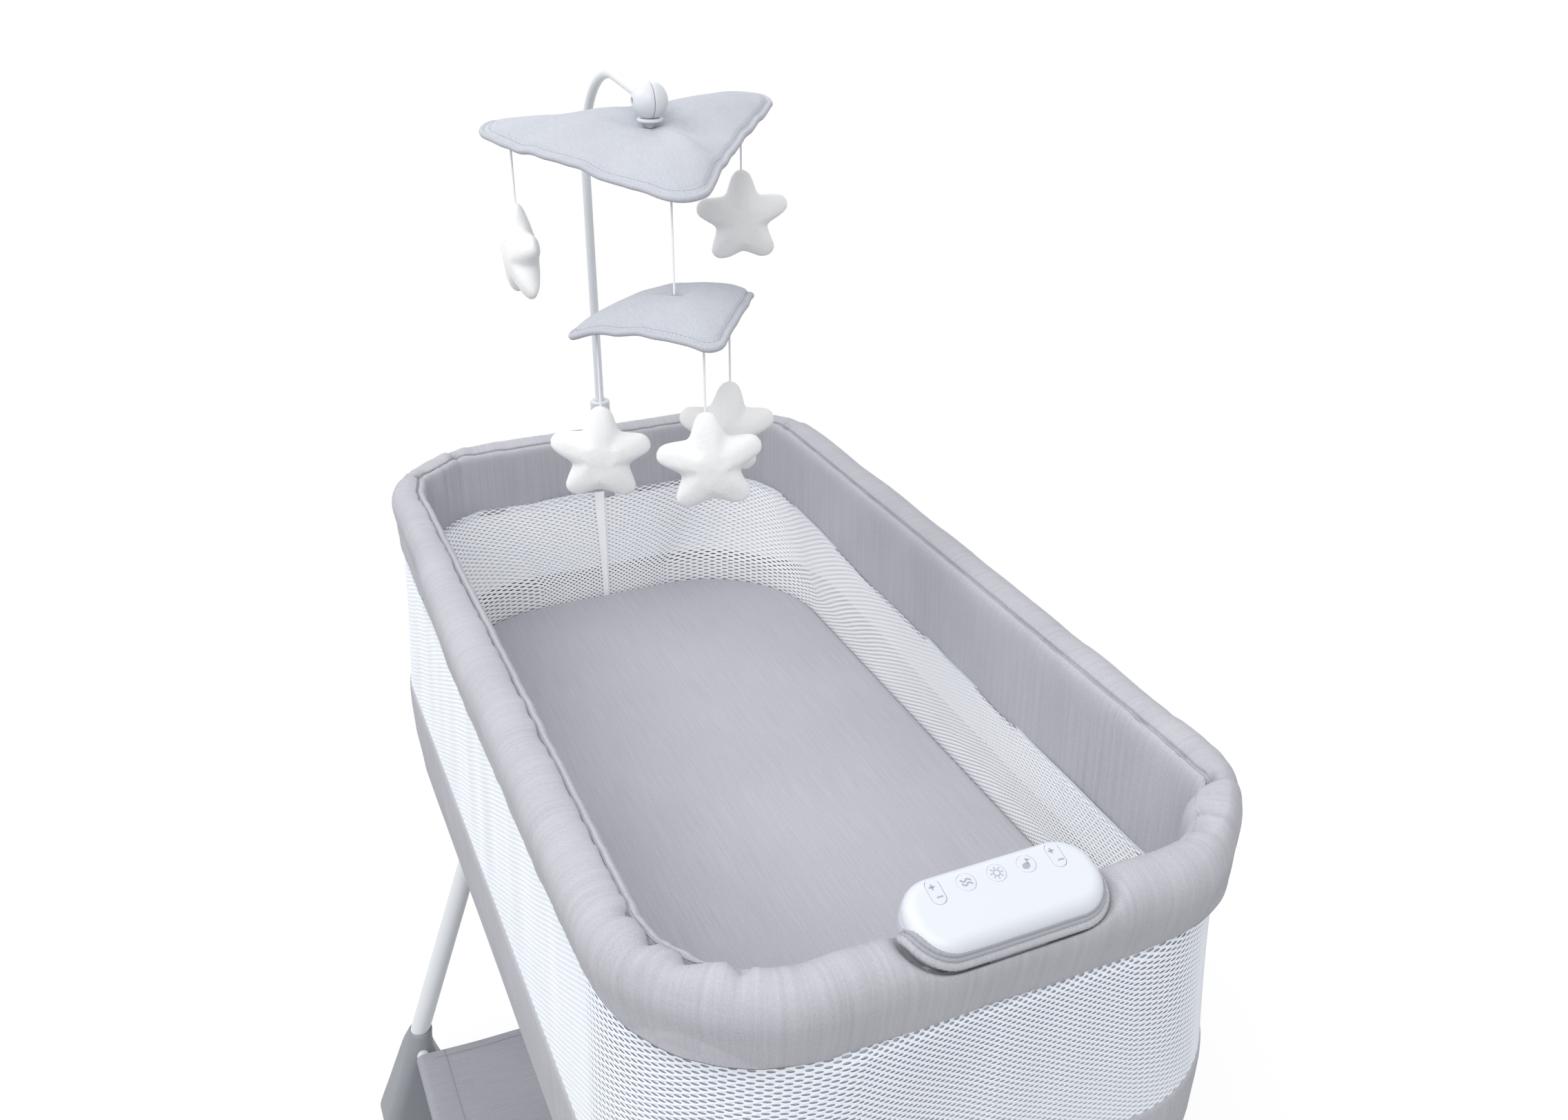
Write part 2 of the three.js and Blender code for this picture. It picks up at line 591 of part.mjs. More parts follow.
function mattress() {
  const edge = 4;
  return loft(
    [
      roundedLoop(grow(MATTRESS_PLAN, -edge / 2), MATTRESS_BOTTOM),
      roundedLoop(MATTRESS_PLAN, MATTRESS_BOTTOM + edge),
      roundedLoop(MATTRESS_PLAN, MATTRESS_TOP - SHEET_THICKNESS - GAP - edge),
      roundedLoop(grow(MATTRESS_PLAN, -edge), MATTRESS_TOP - SHEET_THICKNESS - GAP),
    ],
    false,
  );
}

function fittedSheet() {
  const edge = 4;
  const low = MATTRESS_BOTTOM + edge;
  const inner = grow(SHEET_PLAN, -SHEET_THICKNESS);
  return loft(
    [
      roundedLoop(grow(inner, -edge), MATTRESS_TOP - SHEET_THICKNESS),
      roundedLoop(inner, MATTRESS_TOP - SHEET_THICKNESS - edge),
      roundedLoop(inner, low),
      roundedLoop(SHEET_PLAN, low),
      roundedLoop(SHEET_PLAN, MATTRESS_TOP - edge),
      roundedLoop(grow(SHEET_PLAN, -edge), MATTRESS_TOP),
    ],
    false,
  );
}

function softBasket() {
  const group = new THREE.Group();
  const boardLoops = [BOARD_TOP_Z - BOARD_THICKNESS, BOARD_TOP_Z].map((z) => roundedLoop(MATTRESS_PLAN, z));
  group.add(piece('rim_cover', rimCover(), FABRIC));
  group.add(piece('outer_mesh', outerMesh(), MESH_CLOTH));
  group.add(piece('inner_mesh', innerMesh(), MESH_CLOTH));
  group.add(piece('lower_band', lowerBand(), FABRIC));
  group.add(piece('floor_panel', floorPanel(), FABRIC));
  group.add(piece('mattress_board', loft(boardLoops, false), HARDBOARD));
  group.add(piece('mattress', mattress(), FOAM));
  group.add(piece('fitted_sheet', fittedSheet(), SHEET));
  return group;
}

// ---------------------------------------------------------------- mobile
const HUB = at(POLE_X, HUB_Y, seamHeight(HUB_HEIGHT));
const ARCH_TOP = POLE_BEND_HEIGHT + POLE_BEND_RADIUS;

function mobileSocket() {
  const y = POLE_Y;
  const top = seamHeight(SOCKET_SLEEVE_TOP);
  const sleeve = rod(at(POLE_X, y, top - SOCKET_SLEEVE_LENGTH), at(POLE_X, y, top), SOCKET_SLEEVE_RADIUS);
  const half = 9;
  const low = RIM_TUBE_Z - RIM_TUBE_RADIUS;
  const saddle = box(POLE_X - half, POLE_X + half, y, RIM_HALF_LENGTH - 5, low, RIM_TUBE_Z);
  const poleBore = rod(at(POLE_X, y, top - POLE_DEPTH - GAP), at(POLE_X, y, top + 20), POLE_RADIUS + GAP);
  const rimBore = rod(
    at(POLE_X - 40, RIM_HALF_LENGTH, RIM_TUBE_Z),
    at(POLE_X + 40, RIM_HALF_LENGTH, RIM_TUBE_Z),
    RIM_TUBE_RADIUS + GAP,
    0,
    12,
  );
  return cut(join(sleeve, saddle), poleBore, rimBore);
}

function mobileArm() {
  const y = POLE_Y;
  const points = [at(POLE_X, y, seamHeight(SOCKET_SLEEVE_TOP - POLE_DEPTH))];
  const steps = 9;
  for (let i = 0; i <= steps; i++) {
    const angle = radians((90 * i) / steps);
    const back = POLE_BEND_RADIUS * (1 - Math.cos(angle));
    const up = POLE_BEND_HEIGHT + POLE_BEND_RADIUS * Math.sin(angle);
    points.push(at(POLE_X, y - back, seamHeight(up)));
  }
  points.push(at(POLE_X, HUB_Y + HUB_RADIUS * 1.6, seamHeight(HUB_HEIGHT + 1)));
  points.push(at(POLE_X, HUB_Y + ARM_END_FROM_HUB, seamHeight(HUB_HEIGHT)));
  return pipe(points, at(1, 0, 0), POLE_RADIUS, POLE_RADIUS - TUBE_WALL, 12);
}

const FLANGE_TOP = HUB.z - HUB_RADIUS + 1.7;
const SPINDLE_PIN_TOP = HUB.z - HUB_SCREW_RADIUS - 2.8;
const UPPER_CANOPY_TOP = FLANGE_TOP - 9;

function hubShell(side) {
  const ball = new THREE.SphereGeometry(HUB_RADIUS, 20, 12).translate(HUB.x, HUB.y, HUB.z);
  const far = 2 * HUB_RADIUS;
  const other = box(HUB.x - (side > 0 ? far : GAP / 2), HUB.x + (side > 0 ? GAP / 2 : far),
    HUB.y - far, HUB.y + far, HUB.z - far, HUB.z + far);
  const below = box(HUB.x - far, HUB.x + far, HUB.y - far, HUB.y + far, HUB.z - far, FLANGE_TOP + GAP);
  const slope = 1 / (HUB_RADIUS * 1.6 - ARM_END_FROM_HUB);
  const armBore = rod(
    at(HUB.x, HUB.y + ARM_END_FROM_HUB - GAP, HUB.z),
    at(HUB.x, HUB.y + far, HUB.z + slope * (far - ARM_END_FROM_HUB)),
    POLE_RADIUS + GAP,
    0,
    12,
  );
  const pinBore = rod(
    at(HUB.x, HUB.y, HUB.z - far),
    at(HUB.x, HUB.y, SPINDLE_PIN_TOP + GAP),
    SPINDLE_PIN_RADIUS + RUN_GAP,
    0,
    12,
  );
  const screwBore = rod(
    at(HUB.x - far, HUB.y, HUB.z),
    at(HUB.x + screwEnd() + GAP, HUB.y, HUB.z),
    HUB_SCREW_RADIUS + GAP,
    0,
    10,
  );
  const headBore = rod(
    at(HUB.x - far, HUB.y, HUB.z),
    at(HUB.x - screwHead() + GAP, HUB.y, HUB.z),
    HUB_SCREW_HEAD_RADIUS + GAP,
    0,
    12,
  );
  return cut(ball, other, below, armBore, pinBore, screwBore, headBore);
}

const screwHead = () => HUB_RADIUS - 5; // inner face of the screw's head, from the middle
const screwEnd = () => HUB_RADIUS - 6;

function hubScrew() {
  const profile = [
    [0, -screwEnd()],
    [HUB_SCREW_RADIUS, -screwEnd()],
    [HUB_SCREW_RADIUS, screwHead()],
    [HUB_SCREW_HEAD_RADIUS, screwHead()],
    [HUB_SCREW_HEAD_RADIUS, screwHead() + 2],
    [0, screwHead() + 2],
  ].map(([r, along]) => new THREE.Vector2(r, along));
  const geometry = new THREE.LatheGeometry(profile, 12);
  geometry.rotateZ(Math.PI / 2);
  return geometry.translate(HUB.x, HUB.y, HUB.z);
}

// A turned pin that hangs in the hub and carries the upper canopy on its lower disc.
function spindle() {
  const stem = UPPER_CANOPY_TOP - CANOPY_MIDDLE;
  const profile = [
    [0, SPINDLE_PIN_TOP],
    [SPINDLE_PIN_RADIUS, SPINDLE_PIN_TOP],
    [SPINDLE_PIN_RADIUS, FLANGE_TOP],
    [SPINDLE_FLANGE_RADIUS, FLANGE_TOP],
    [SPINDLE_FLANGE_RADIUS, FLANGE_TOP - 3],
    [6, FLANGE_TOP - 5],
    [SPINDLE_PIN_RADIUS + 1.2, UPPER_CANOPY_TOP + GAP],
    [SPINDLE_PIN_RADIUS, UPPER_CANOPY_TOP + GAP],
    [SPINDLE_PIN_RADIUS, stem - GAP],
    [6, stem - GAP],
    [6, stem - 3],
    [0, stem - 3],
  ].map(([r, z]) => new THREE.Vector2(r, z));
  return new THREE.LatheGeometry(profile.reverse(), 16).rotateX(Math.PI / 2).translate(HUB.x, HUB.y, 0);
}

// A three-cornered padded cloth: its outline about the middle, at unit scale t.
function canopyOutline(radius, directions) {
  const corner = radius * 0.12;
  const points = [];
  const steps = 4;
  const corners = directions.map(radians);
  corners.forEach((angle, k) => {
    const centre = new THREE.Vector2(Math.cos(angle), Math.sin(angle)).multiplyScalar(radius - corner);
    for (let i = -2; i <= 2; i++) {
      const bend = angle + radians(30 * i);
      points.push(centre.clone().add(new THREE.Vector2(Math.cos(bend), Math.sin(bend)).multiplyScalar(corner)));
    }
    const next = corners[(k + 1) % 3];
    const arrive = next - radians(60);
    const from = points[points.length - 1];
    const to = new THREE.Vector2(Math.cos(next), Math.sin(next)).multiplyScalar(radius - corner);
    to.add(new THREE.Vector2(Math.cos(arrive), Math.sin(arrive)).multiplyScalar(corner));
    for (let i = 1; i < steps; i++) points.push(from.clone().lerp(to, i / steps));
  });
  return points;
}

const canopyTop = (c, x, y) =>
  c.top - (c.droop * (x * x + y * y)) / (c.radius * c.radius) + c.tiltX * x + c.tiltY * y;
const canopyDepth = (t) => CANOPY_MIDDLE + (CANOPY_EDGE - CANOPY_MIDDLE) * t * t;

function canopyGeometry(c) {
  const outline = canopyOutline(c.radius, c.corners);
  const ring = (t, below) =>
    outline.map((p) => {
      const z = canopyTop(c, p.x * t, p.y * t) - (below ? canopyDepth(t) : 0);
      return at(c.x + p.x * t, c.y + p.y * t, z);
    });
  const flat = (radius, below) =>
    outline.map((p) => {
      const z = c.top - (below ? CANOPY_MIDDLE : 0);
      const scale = radius / p.length();
      return at(c.x + p.x * scale, c.y + p.y * scale, z);
    });
  const side = (below) => [
    flat(c.bore, below),
    flat(CANOPY_COLLAR, below),
    ...[0.3, 0.55, 0.8, 1].map((t) => ring(t, below)),
  ];
  return loft([...side(false), ...side(true).reverse()], true);
}

const UPPER = {
  x: POLE_X,
  y: HUB_Y,
  top: UPPER_CANOPY_TOP,
  radius: UPPER_CANOPY_RADIUS,
  corners: UPPER_CANOPY_CORNERS,
  droop: UPPER_CANOPY_DROOP,
  tiltX: UPPER_CANOPY_TILT_X,
  tiltY: UPPER_CANOPY_TILT_Y,
  bore: SPINDLE_PIN_RADIUS + GAP + 0.3,
};
const LOWER = {
  x: LOWER_CANOPY_X,
  y: LOWER_CANOPY_Y,
  top: seamHeight(LOWER_CANOPY_TOP),
  radius: LOWER_CANOPY_RADIUS,
  corners: LOWER_CANOPY_CORNERS,
  droop: LOWER_CANOPY_DROOP,
  tiltX: LOWER_CANOPY_TILT_X,
  tiltY: LOWER_CANOPY_TILT_Y,
  bore: STRING_RADIUS + RUN_GAP + 0.2,
};

// Where a string meets the cloth from below, at a direction and reach from its middle.
function underCanopy(c, angle, reach) {
  const x = reach * Math.cos(radians(angle));
  const y = reach * Math.sin(radians(angle));
  const t = reach / c.radius;
  return at(c.x + x, c.y + y, canopyTop(c, x, y) - canopyDepth(t) - STRING_GAP);
}

// Stars: name, canopy they hang from, direction and reach from its middle,
// string end above the seam, and the direction that the star's face looks.
const STARS = [
  ['left', UPPER, 150, 133, 310.5, -24],
  ['right', UPPER, 30, 135, 321.8, -92],
  ['lower_left', LOWER, 150, 72, 154, -110],
  ['lower_front', LOWER, -90, 70, 177, -106],
  ['lower_back', LOWER, 22, 66, 164, -100],
];

// A limp string hangs straight down; it has an eight-sided section.
function stringGeometry(top, bottom) {
  const path = new THREE.LineCurve3(top, bottom);
  const section = new THREE.Shape();
  section.absarc(0, 0, STRING_RADIUS, 0, 2 * Math.PI, false);
  return new THREE.ExtrudeGeometry(section, { steps: 12, curveSegments: 4, extrudePath: path });
}

// A plump five-pointed star standing in a vertical plane, face towards `facing` degrees.
function starGeometry(centre, facing) {
  const normal = at(Math.cos(radians(facing)), Math.sin(radians(facing)), 0);
  const across = at(-normal.y, normal.x, 0);
  const middle = (STAR_RADIUS + STAR_VALLEY) / 2;
  const swing = (STAR_RADIUS - STAR_VALLEY) / 2;
  const count = 30;
  const ring = (scale, out) =>
    Array.from({ length: count }, (_, i) => {
      const angle = (2 * Math.PI * i) / count;
      const reach = scale * (middle + swing * Math.cos(5 * angle));
      return centre
        .clone()
        .addScaledVector(across, reach * Math.sin(angle))
        .addScaledVector(normal, out * (STAR_THICKNESS / 2))
        .add(at(0, 0, reach * Math.cos(angle)));
    });
  return loft([ring(0.45, -1), ring(0.82, -0.7), ring(1, 0), ring(0.82, 0.7), ring(0.45, 1)], false);
}

function mobile() {
  const group = new THREE.Group();
  group.add(piece('mobile_socket', mobileSocket(), WHITE_PLASTIC));
  group.add(piece('mobile_arm', mobileArm(), WHITE_PAINT));
  group.add(piece('hub_shell_left', hubShell(-1), WHITE_PLASTIC));
  group.add(piece('hub_shell_right', hubShell(1), WHITE_PLASTIC));
  group.add(piece('hub_screw', hubScrew(), STEEL));
  group.add(piece('spindle', spindle(), WHITE_PLASTIC));
  group.add(piece('upper_canopy', canopyGeometry(UPPER), CANOPY_CLOTH));
  group.add(piece('lower_canopy', canopyGeometry(LOWER), CANOPY_CLOTH));
  const dx = LOWER.x - UPPER.x;
  const dy = LOWER.y - UPPER.y;
  const frontTop = underCanopy(UPPER, (Math.atan2(dy, dx) * 180) / Math.PI, Math.hypot(dx, dy));
  const frontEnd = at(LOWER.x, LOWER.y, LOWER.top - CANOPY_MIDDLE);
  group.add(piece('string_front', stringGeometry(frontTop, frontEnd), CORD));
  for (const [name, canopy, angle, reach, end, facing] of STARS) {
    const top = underCanopy(canopy, angle, reach);
    const bottom = at(top.x, top.y, seamHeight(end));
    const centre = at(top.x, top.y, seamHeight(end) - GAP - STAR_RADIUS);
    group.add(piece(`string_${name}`, stringGeometry(top, bottom), CORD));
    group.add(piece(`star_${name}`, starGeometry(centre, facing), PLUSH));
  }
  return group;
}

// ---------------------------------------------------------------- control pod
const POD_PLAN = plan(POD_HALF_LENGTH, POD_HALF_WIDTH, POD_CORNER);

function podMatrix() {
  const turn = new THREE.Matrix4().makeRotationX(radians(POD_TILT));
  return turn.premultiply(new THREE.Matrix4().makeTranslation(POD_X, POD_Y, POD_HEIGHT));
}

// The pod's plain outline between two depths, grown on all sides.
const podBody = (low, high, by) =>
  loft([low, high].map((z) => roundedLoop(grow(POD_PLAN, by), z)), false);

// The rim tube's centre seen in the pod's frame.
function rimTubeInPod() {
  const tube = at(POD_X, -RIM_HALF_LENGTH, RIM_TUBE_Z);
  return tube.applyMatrix4(podMatrix().invert());
}

function podClip(by) {
  const tube = rimTubeInPod();
  const half = RIM_TUBE_RADIUS + 3;
  return box(-22 - by, 22 + by, tube.y - half - by, tube.y + half + by, tube.z - by, 1 - POD_DEPTH);
}

function podBase() {
  const part = -POD_COVER_DEPTH - GAP;
  const floor = -POD_DEPTH;
  const shape = (p, z) => roundedLoop(p, z);
  const outer = [
    shape(grow(POD_PLAN, -5), floor),
    shape(grow(POD_PLAN, -1.5), floor + 2.5),
    shape(POD_PLAN, floor + 8),
    shape(POD_PLAN, part),
  ];
  const inner = [
    shape(grow(POD_PLAN, -5 - POD_WALL), floor + POD_WALL),
    shape(grow(POD_PLAN, -1.5 - POD_WALL), floor + 2.5 + POD_WALL),
    shape(grow(POD_PLAN, -POD_WALL), floor + 8 + POD_WALL),
    shape(grow(POD_PLAN, -POD_WALL), part + 5),
  ];
  const tube = rimTubeInPod();
  const seat = rod(at(-40, tube.y, tube.z), at(40, tube.y, tube.z), RIM_TUBE_RADIUS + 3 * GAP);
  return cut(join(loft(outer, false), podClip(0)), loft(inner, false), seat);
}

const rockerShape = (by) => {
  const shape = new THREE.Shape();
  const r = ROCKER_RADIUS + by;
  const reach = ROCKER_HALF_LENGTH - ROCKER_RADIUS;
  shape.absarc(0, reach, r, 0, Math.PI, false);
  shape.absarc(0, -reach, r, Math.PI, 2 * Math.PI, false);
  shape.closePath();
  return shape;
};

function rocker(by, low, high, x) {
  const options = { depth: high - low, bevelEnabled: false, curveSegments: 8 };
  return new THREE.ExtrudeGeometry(rockerShape(by), options).translate(x, BUTTON_ROW_Y, low);
}

const roundButton = (by, low, high, x) =>
  rod(at(x, BUTTON_ROW_Y, low), at(x, BUTTON_ROW_Y, high), BUTTON_RADIUS + by, 0, 20);

const BUTTONS = [
  ['rocker_left', -2, rocker],
  ['vibration_button', -1, roundButton],
  ['light_button', 0, roundButton],
  ['music_button', 1, roundButton],
  ['rocker_right', 2, rocker],
];

function podCover() {
  const outer = [
    roundedLoop(POD_PLAN, -POD_COVER_DEPTH),
    roundedLoop(POD_PLAN, -7),
    roundedLoop(grow(POD_PLAN, -1.4), -3),
    roundedLoop(grow(POD_PLAN, -3.6), -1),
    roundedLoop(grow(POD_PLAN, -7), 0),
  ];
  const inner = [
    roundedLoop(grow(POD_PLAN, -POD_WALL), -POD_COVER_DEPTH - 5),
    roundedLoop(grow(POD_PLAN, -POD_WALL), -7),
    roundedLoop(grow(POD_PLAN, -3 - POD_WALL), -3.4),
    roundedLoop(grow(POD_PLAN, -6 - POD_WALL), -POD_WALL),
  ];
  const holes = BUTTONS.map(([, slot, shape]) => shape(RUN_GAP, -20, 20, slot * BUTTON_PITCH));
  return cut(loft(outer, false), loft(inner, false), ...holes);
}

function pod() {
  const group = new THREE.Group();
  group.position.set(POD_X, POD_Y, POD_HEIGHT);
  group.rotation.x = radians(POD_TILT);
  group.add(piece('pod_base', podBase(), WHITE_PLASTIC));
  group.add(piece('pod_cover', podCover(), WHITE_PLASTIC));
  for (const [name, slot, shape] of BUTTONS) {
    const top = BUTTON_PROUD;
    group.add(piece(name, shape(0, top - BUTTON_HEIGHT, top, slot * BUTTON_PITCH), WHITE_PLASTIC));
  }
  const boardPlan = grow(POD_PLAN, -POD_WALL - GAP);
  const board = [BOARD_TOP - BOARD_THICK, BOARD_TOP].map((z) => roundedLoop(boardPlan, z));
  group.add(piece('circuit_board', loft(board, false), CIRCUIT));
  const floor = -POD_DEPTH + POD_WALL + GAP;
  group.add(piece('battery_pack', box(-52, 2, -13, 13, floor, floor + 14), DARK_PLASTIC));
  group.add(piece('speaker', rod(at(26, 0, floor), at(26, 0, floor + 9), 18, 0, 20), GREY_PLASTIC));
  return group;
}

// ---------------------------------------------------------------- assembly
const bassinet = new THREE.Group();
bassinet.add(stand(), basketFrame(), softBasket(), mobile(), pod());

export default bassinet;
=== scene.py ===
"""Bassinet on a splayed tube stand, with its star mobile and its rim-mounted control pod.

Metres, +Z up, +Y towards the head end that carries the mobile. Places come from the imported
frame's boxes; the sizes that belong to the looks alone are named below.
"""

import contextlib
import math

import bmesh
import bpy
import numpy as np
from mathutils import Matrix, Vector, noise


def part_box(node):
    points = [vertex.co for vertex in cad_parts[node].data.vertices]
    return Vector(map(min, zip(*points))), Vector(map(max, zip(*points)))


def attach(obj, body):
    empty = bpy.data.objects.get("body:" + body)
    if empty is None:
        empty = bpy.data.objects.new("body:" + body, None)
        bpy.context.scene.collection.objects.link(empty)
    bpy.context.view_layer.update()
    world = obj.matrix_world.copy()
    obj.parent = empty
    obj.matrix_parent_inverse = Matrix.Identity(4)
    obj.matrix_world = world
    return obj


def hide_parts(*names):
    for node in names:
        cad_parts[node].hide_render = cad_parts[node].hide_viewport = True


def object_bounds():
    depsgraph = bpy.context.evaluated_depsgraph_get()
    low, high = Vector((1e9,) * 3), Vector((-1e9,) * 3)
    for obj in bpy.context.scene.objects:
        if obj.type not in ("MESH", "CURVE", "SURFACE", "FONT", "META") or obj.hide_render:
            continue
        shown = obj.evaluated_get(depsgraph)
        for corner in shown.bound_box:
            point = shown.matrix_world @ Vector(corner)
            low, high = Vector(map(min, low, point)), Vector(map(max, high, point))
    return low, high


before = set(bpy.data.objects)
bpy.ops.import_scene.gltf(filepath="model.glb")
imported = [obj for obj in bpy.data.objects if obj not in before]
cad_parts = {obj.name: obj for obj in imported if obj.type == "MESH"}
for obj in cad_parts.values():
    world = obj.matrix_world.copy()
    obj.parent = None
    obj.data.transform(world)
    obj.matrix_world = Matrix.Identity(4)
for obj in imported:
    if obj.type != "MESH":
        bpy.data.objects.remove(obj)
cad_low, cad_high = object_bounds()

# ------------------------------------------------------------------ sizes read from the frame
COT = "cot"


def middle(node):
    low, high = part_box(node)
    return (low + high) / 2


def reach(node):
    low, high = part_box(node)
    return (high - low) / 2


RIM_RADIUS = reach("rim_tube_foot").z
RIM_Z = middle("rim_tube_foot").z
RIM_A = reach("rim_tube_foot").x - RIM_RADIUS
RIM_B = -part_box("rim_tube_foot")[0].y - RIM_RADIUS
RIM_R = 0.107
LOWER_Z = middle("lower_tube_foot").z
LOWER_A = reach("lower_tube_foot").x - RIM_RADIUS
LOWER_B = -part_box("lower_tube_foot")[0].y - RIM_RADIUS
LOWER_R = 0.118
SHEET_A = reach("fitted_sheet").x
SHEET_B = reach("fitted_sheet").y
SHEET_R = 0.141
HUB = middle("hub_shell_left")
HUB.x = (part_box("hub_shell_left")[1].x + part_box("hub_shell_right")[0].x) / 2
HUB.z = middle("hub_screw").z
RAIL_Y = middle("cross_rail_head").y
POD_TILT = math.radians(17)
BUTTON_ROW = 0.0135  # the row's place in the pod's own frame
BUTTON_PROUD = 0.0005
LIGHT_BUTTON = middle("light_button")

# The pod's frame: x along the rim, y towards the mattress, z out of the face.
POD_AXES = Matrix.Rotation(POD_TILT, 3, "X")
POD_BUTTON_HEIGHT = 0.0075
POD_ORIGIN = LIGHT_BUTTON - POD_AXES @ Vector((0, BUTTON_ROW, BUTTON_PROUD - POD_BUTTON_HEIGHT / 2))
POD_MATRIX = Matrix.Translation(POD_ORIGIN) @ POD_AXES.to_4x4()
POD_A = 0.071
POD_B = 0.028
POD_R = 0.026
POD_COVER_DEPTH = 0.012
POD_DEPTH = 0.030
SOCKET_RADIUS = 0.0105  # the sleeve that the mobile's arm stands in
INNER_AROUND = 2 * math.pi * 0.33  # length round the inner wall and round the mattress

# ------------------------------------------------------------------ camera
FOCAL_PER_WIDTH = 0.88
CAMERA_AT = Vector((-0.409, -1.022, 1.375))
CAMERA_YAW = math.radians(24.1)
CAMERA_PITCH = math.radians(27.3)
CAMERA_ROLL = math.radians(0.27)


def make_camera():
    data = bpy.data.cameras.new("camera")
    data.sensor_width = 36
    data.lens = data.sensor_width * FOCAL_PER_WIDTH
    data.clip_end = 50
    camera = bpy.data.objects.new("camera", data)
    bpy.context.scene.collection.objects.link(camera)
    turn = Matrix.Rotation(-CAMERA_YAW, 4, "Z")
    turn @= Matrix.Rotation(math.pi / 2 - CAMERA_PITCH, 4, "X")
    turn @= Matrix.Rotation(CAMERA_ROLL, 4, "Z")
    camera.matrix_world = Matrix.Translation(CAMERA_AT) @ turn
    bpy.context.scene.camera = camera


make_camera()


# ------------------------------------------------------------------ node helpers
def colour(red, green, blue):
    """A colour given as seen on a screen, 0 to 255."""
    seen = np.array([red, green, blue]) / 255
    linear = np.where(seen <= 0.04045, seen / 12.92, ((seen + 0.055) / 1.055) ** 2.4)
    return (*[float(c) for c in linear], 1.0)


class Recipe:
    """A material, or the world, under construction: short calls that add and join shader nodes."""

    def __init__(self, owner):
        owner.use_nodes = True
        self.owner = owner
        self.tree = owner.node_tree

    def put(self, target, value):
        if isinstance(value, bpy.types.NodeSocket):
            self.tree.links.new(value, target)
        else:
            target.default_value = value

    def node(self, kind, inputs=None, **settings):
        made = self.tree.nodes.new(kind)
        for key, value in settings.items():
            setattr(made, key, value)
        for key, value in (inputs or {}).items():
            self.put(made.inputs[key], value)
        return made

    def math(self, operation, a, b=0.0, clamp=False):
        return self.node("ShaderNodeMath", {0: a, 1: b}, operation=operation, use_clamp=clamp).outputs[0]

    def total(self, *parts):
        """The sum of (value, weight) pairs."""
        result, *rest = [self.math("MULTIPLY", value, weight) for value, weight in parts]
        for part in rest:
            result = self.math("ADD", result, part)
        return result

    def uv(self):
        return self.node("ShaderNodeTexCoord").outputs["UV"]

    def place(self):
        return self.node("ShaderNodeTexCoord").outputs["Object"]

    def noise(self, vector, scale, detail=2.0, roughness=0.5):
        inputs = {"Vector": vector, "Scale": scale, "Detail": detail, "Roughness": roughness}
        return self.node("ShaderNodeTexNoise", inputs).outputs["Fac"]

    def grain(self, along, across, detail=2.0, roughness=0.5):
        """Noise over the cloth, so many to the metre along u and across it along v."""
        stretched = self.node("ShaderNodeMapping", {"Vector": self.uv(), "Scale": (along, across, 1)})
        return self.noise(stretched.outputs["Vector"], 1.0, detail, roughness)

    def spread(self, value, low, high):
        """value, from 0 to 1, taken to low..high."""
        return self.node("ShaderNodeMapRange", {"Value": value, "To Min": low, "To Max": high}).outputs[0]

    def blend(self, factor, first, second):
        return self.node("ShaderNodeMix", {0: factor, 6: first, 7: second}, data_type="RGBA").outputs[2]

    def bump(self, height, strength, distance):
        inputs = {"Height": height, "Strength": strength, "Distance": distance}
        return self.node("ShaderNodeBump", inputs).outputs[0]

    def mix_shaders(self, factor, first, second):
        """Ends the tree with two shaders mixed by factor."""
        mixed = self.node("ShaderNodeMixShader", {0: factor, 1: first.outputs[0], 2: second.outputs[0]})
        output = next(node for node in self.tree.nodes if node.bl_idname.startswith("ShaderNodeOutput"))
        self.put(output.inputs["Surface"], mixed.outputs[0])

    def finish(self, **inputs):
        """Sets the Principled shader's inputs and gives the material."""
        shader = self.tree.nodes["Principled BSDF"]
        for key, value in inputs.items():
            self.put(shader.inputs[key.replace("_", " ")], value)
        return self.owner


# ------------------------------------------------------------------ materials
# Each takes its lightest and its darkest colour as seen on a screen. UVs are in metres.
def start_material(name):
    return Recipe(bpy.data.materials.new(name))


def cloth_finish(r, light, dark, tone, roughness, normal):
    """The finish that the woven and knitted cloths share."""
    return r.finish(
        Base_Color=r.blend(tone, colour(*dark), colour(*light)),
        Roughness=roughness,
        Normal=normal,
        Sheen_Weight=0.1,
        Sheen_Roughness=0.6,
        Specular_IOR_Level=0.2,
    )


def herringbone(name, light, dark):
    """Twill whose slant turns at every column; the columns run along v."""
    column, thread, steepness = 0.0049, 0.0013, 1.15
    r = start_material(name)
    split = r.node("ShaderNodeSeparateXYZ", {"Vector": r.uv()})
    waver = r.math("MULTIPLY", r.grain(60, 25), 0.0012)
    slant = r.math("PINGPONG", r.math("ADD", split.outputs["X"], waver), column)
    phase = r.math("ADD", split.outputs["Y"], r.math("MULTIPLY", slant, steepness))
    wave = r.math("SINE", r.math("MULTIPLY", phase, 2 * math.pi / thread))
    threads = r.math("MULTIPLY", r.math("ADD", wave, 1.0), 0.5)
    heather = r.grain(850, 420, 3.0, 0.7)
    slub = r.grain(330, 9, 3.0, 0.6)
    broad = r.grain(11, 11)
    fuzz = r.grain(1800, 1800)
    tone = r.total((threads, 0.55), (heather, 0.50), (slub, 0.40), (broad, 0.28))
    height = r.math("ADD", threads, r.math("MULTIPLY", fuzz, 0.5))
    evened = r.math("SUBTRACT", tone, 0.37, clamp=True)
    return cloth_finish(r, light, dark, evened, r.spread(heather, 0.84, 0.97), r.bump(height, 0.6, 0.0003))


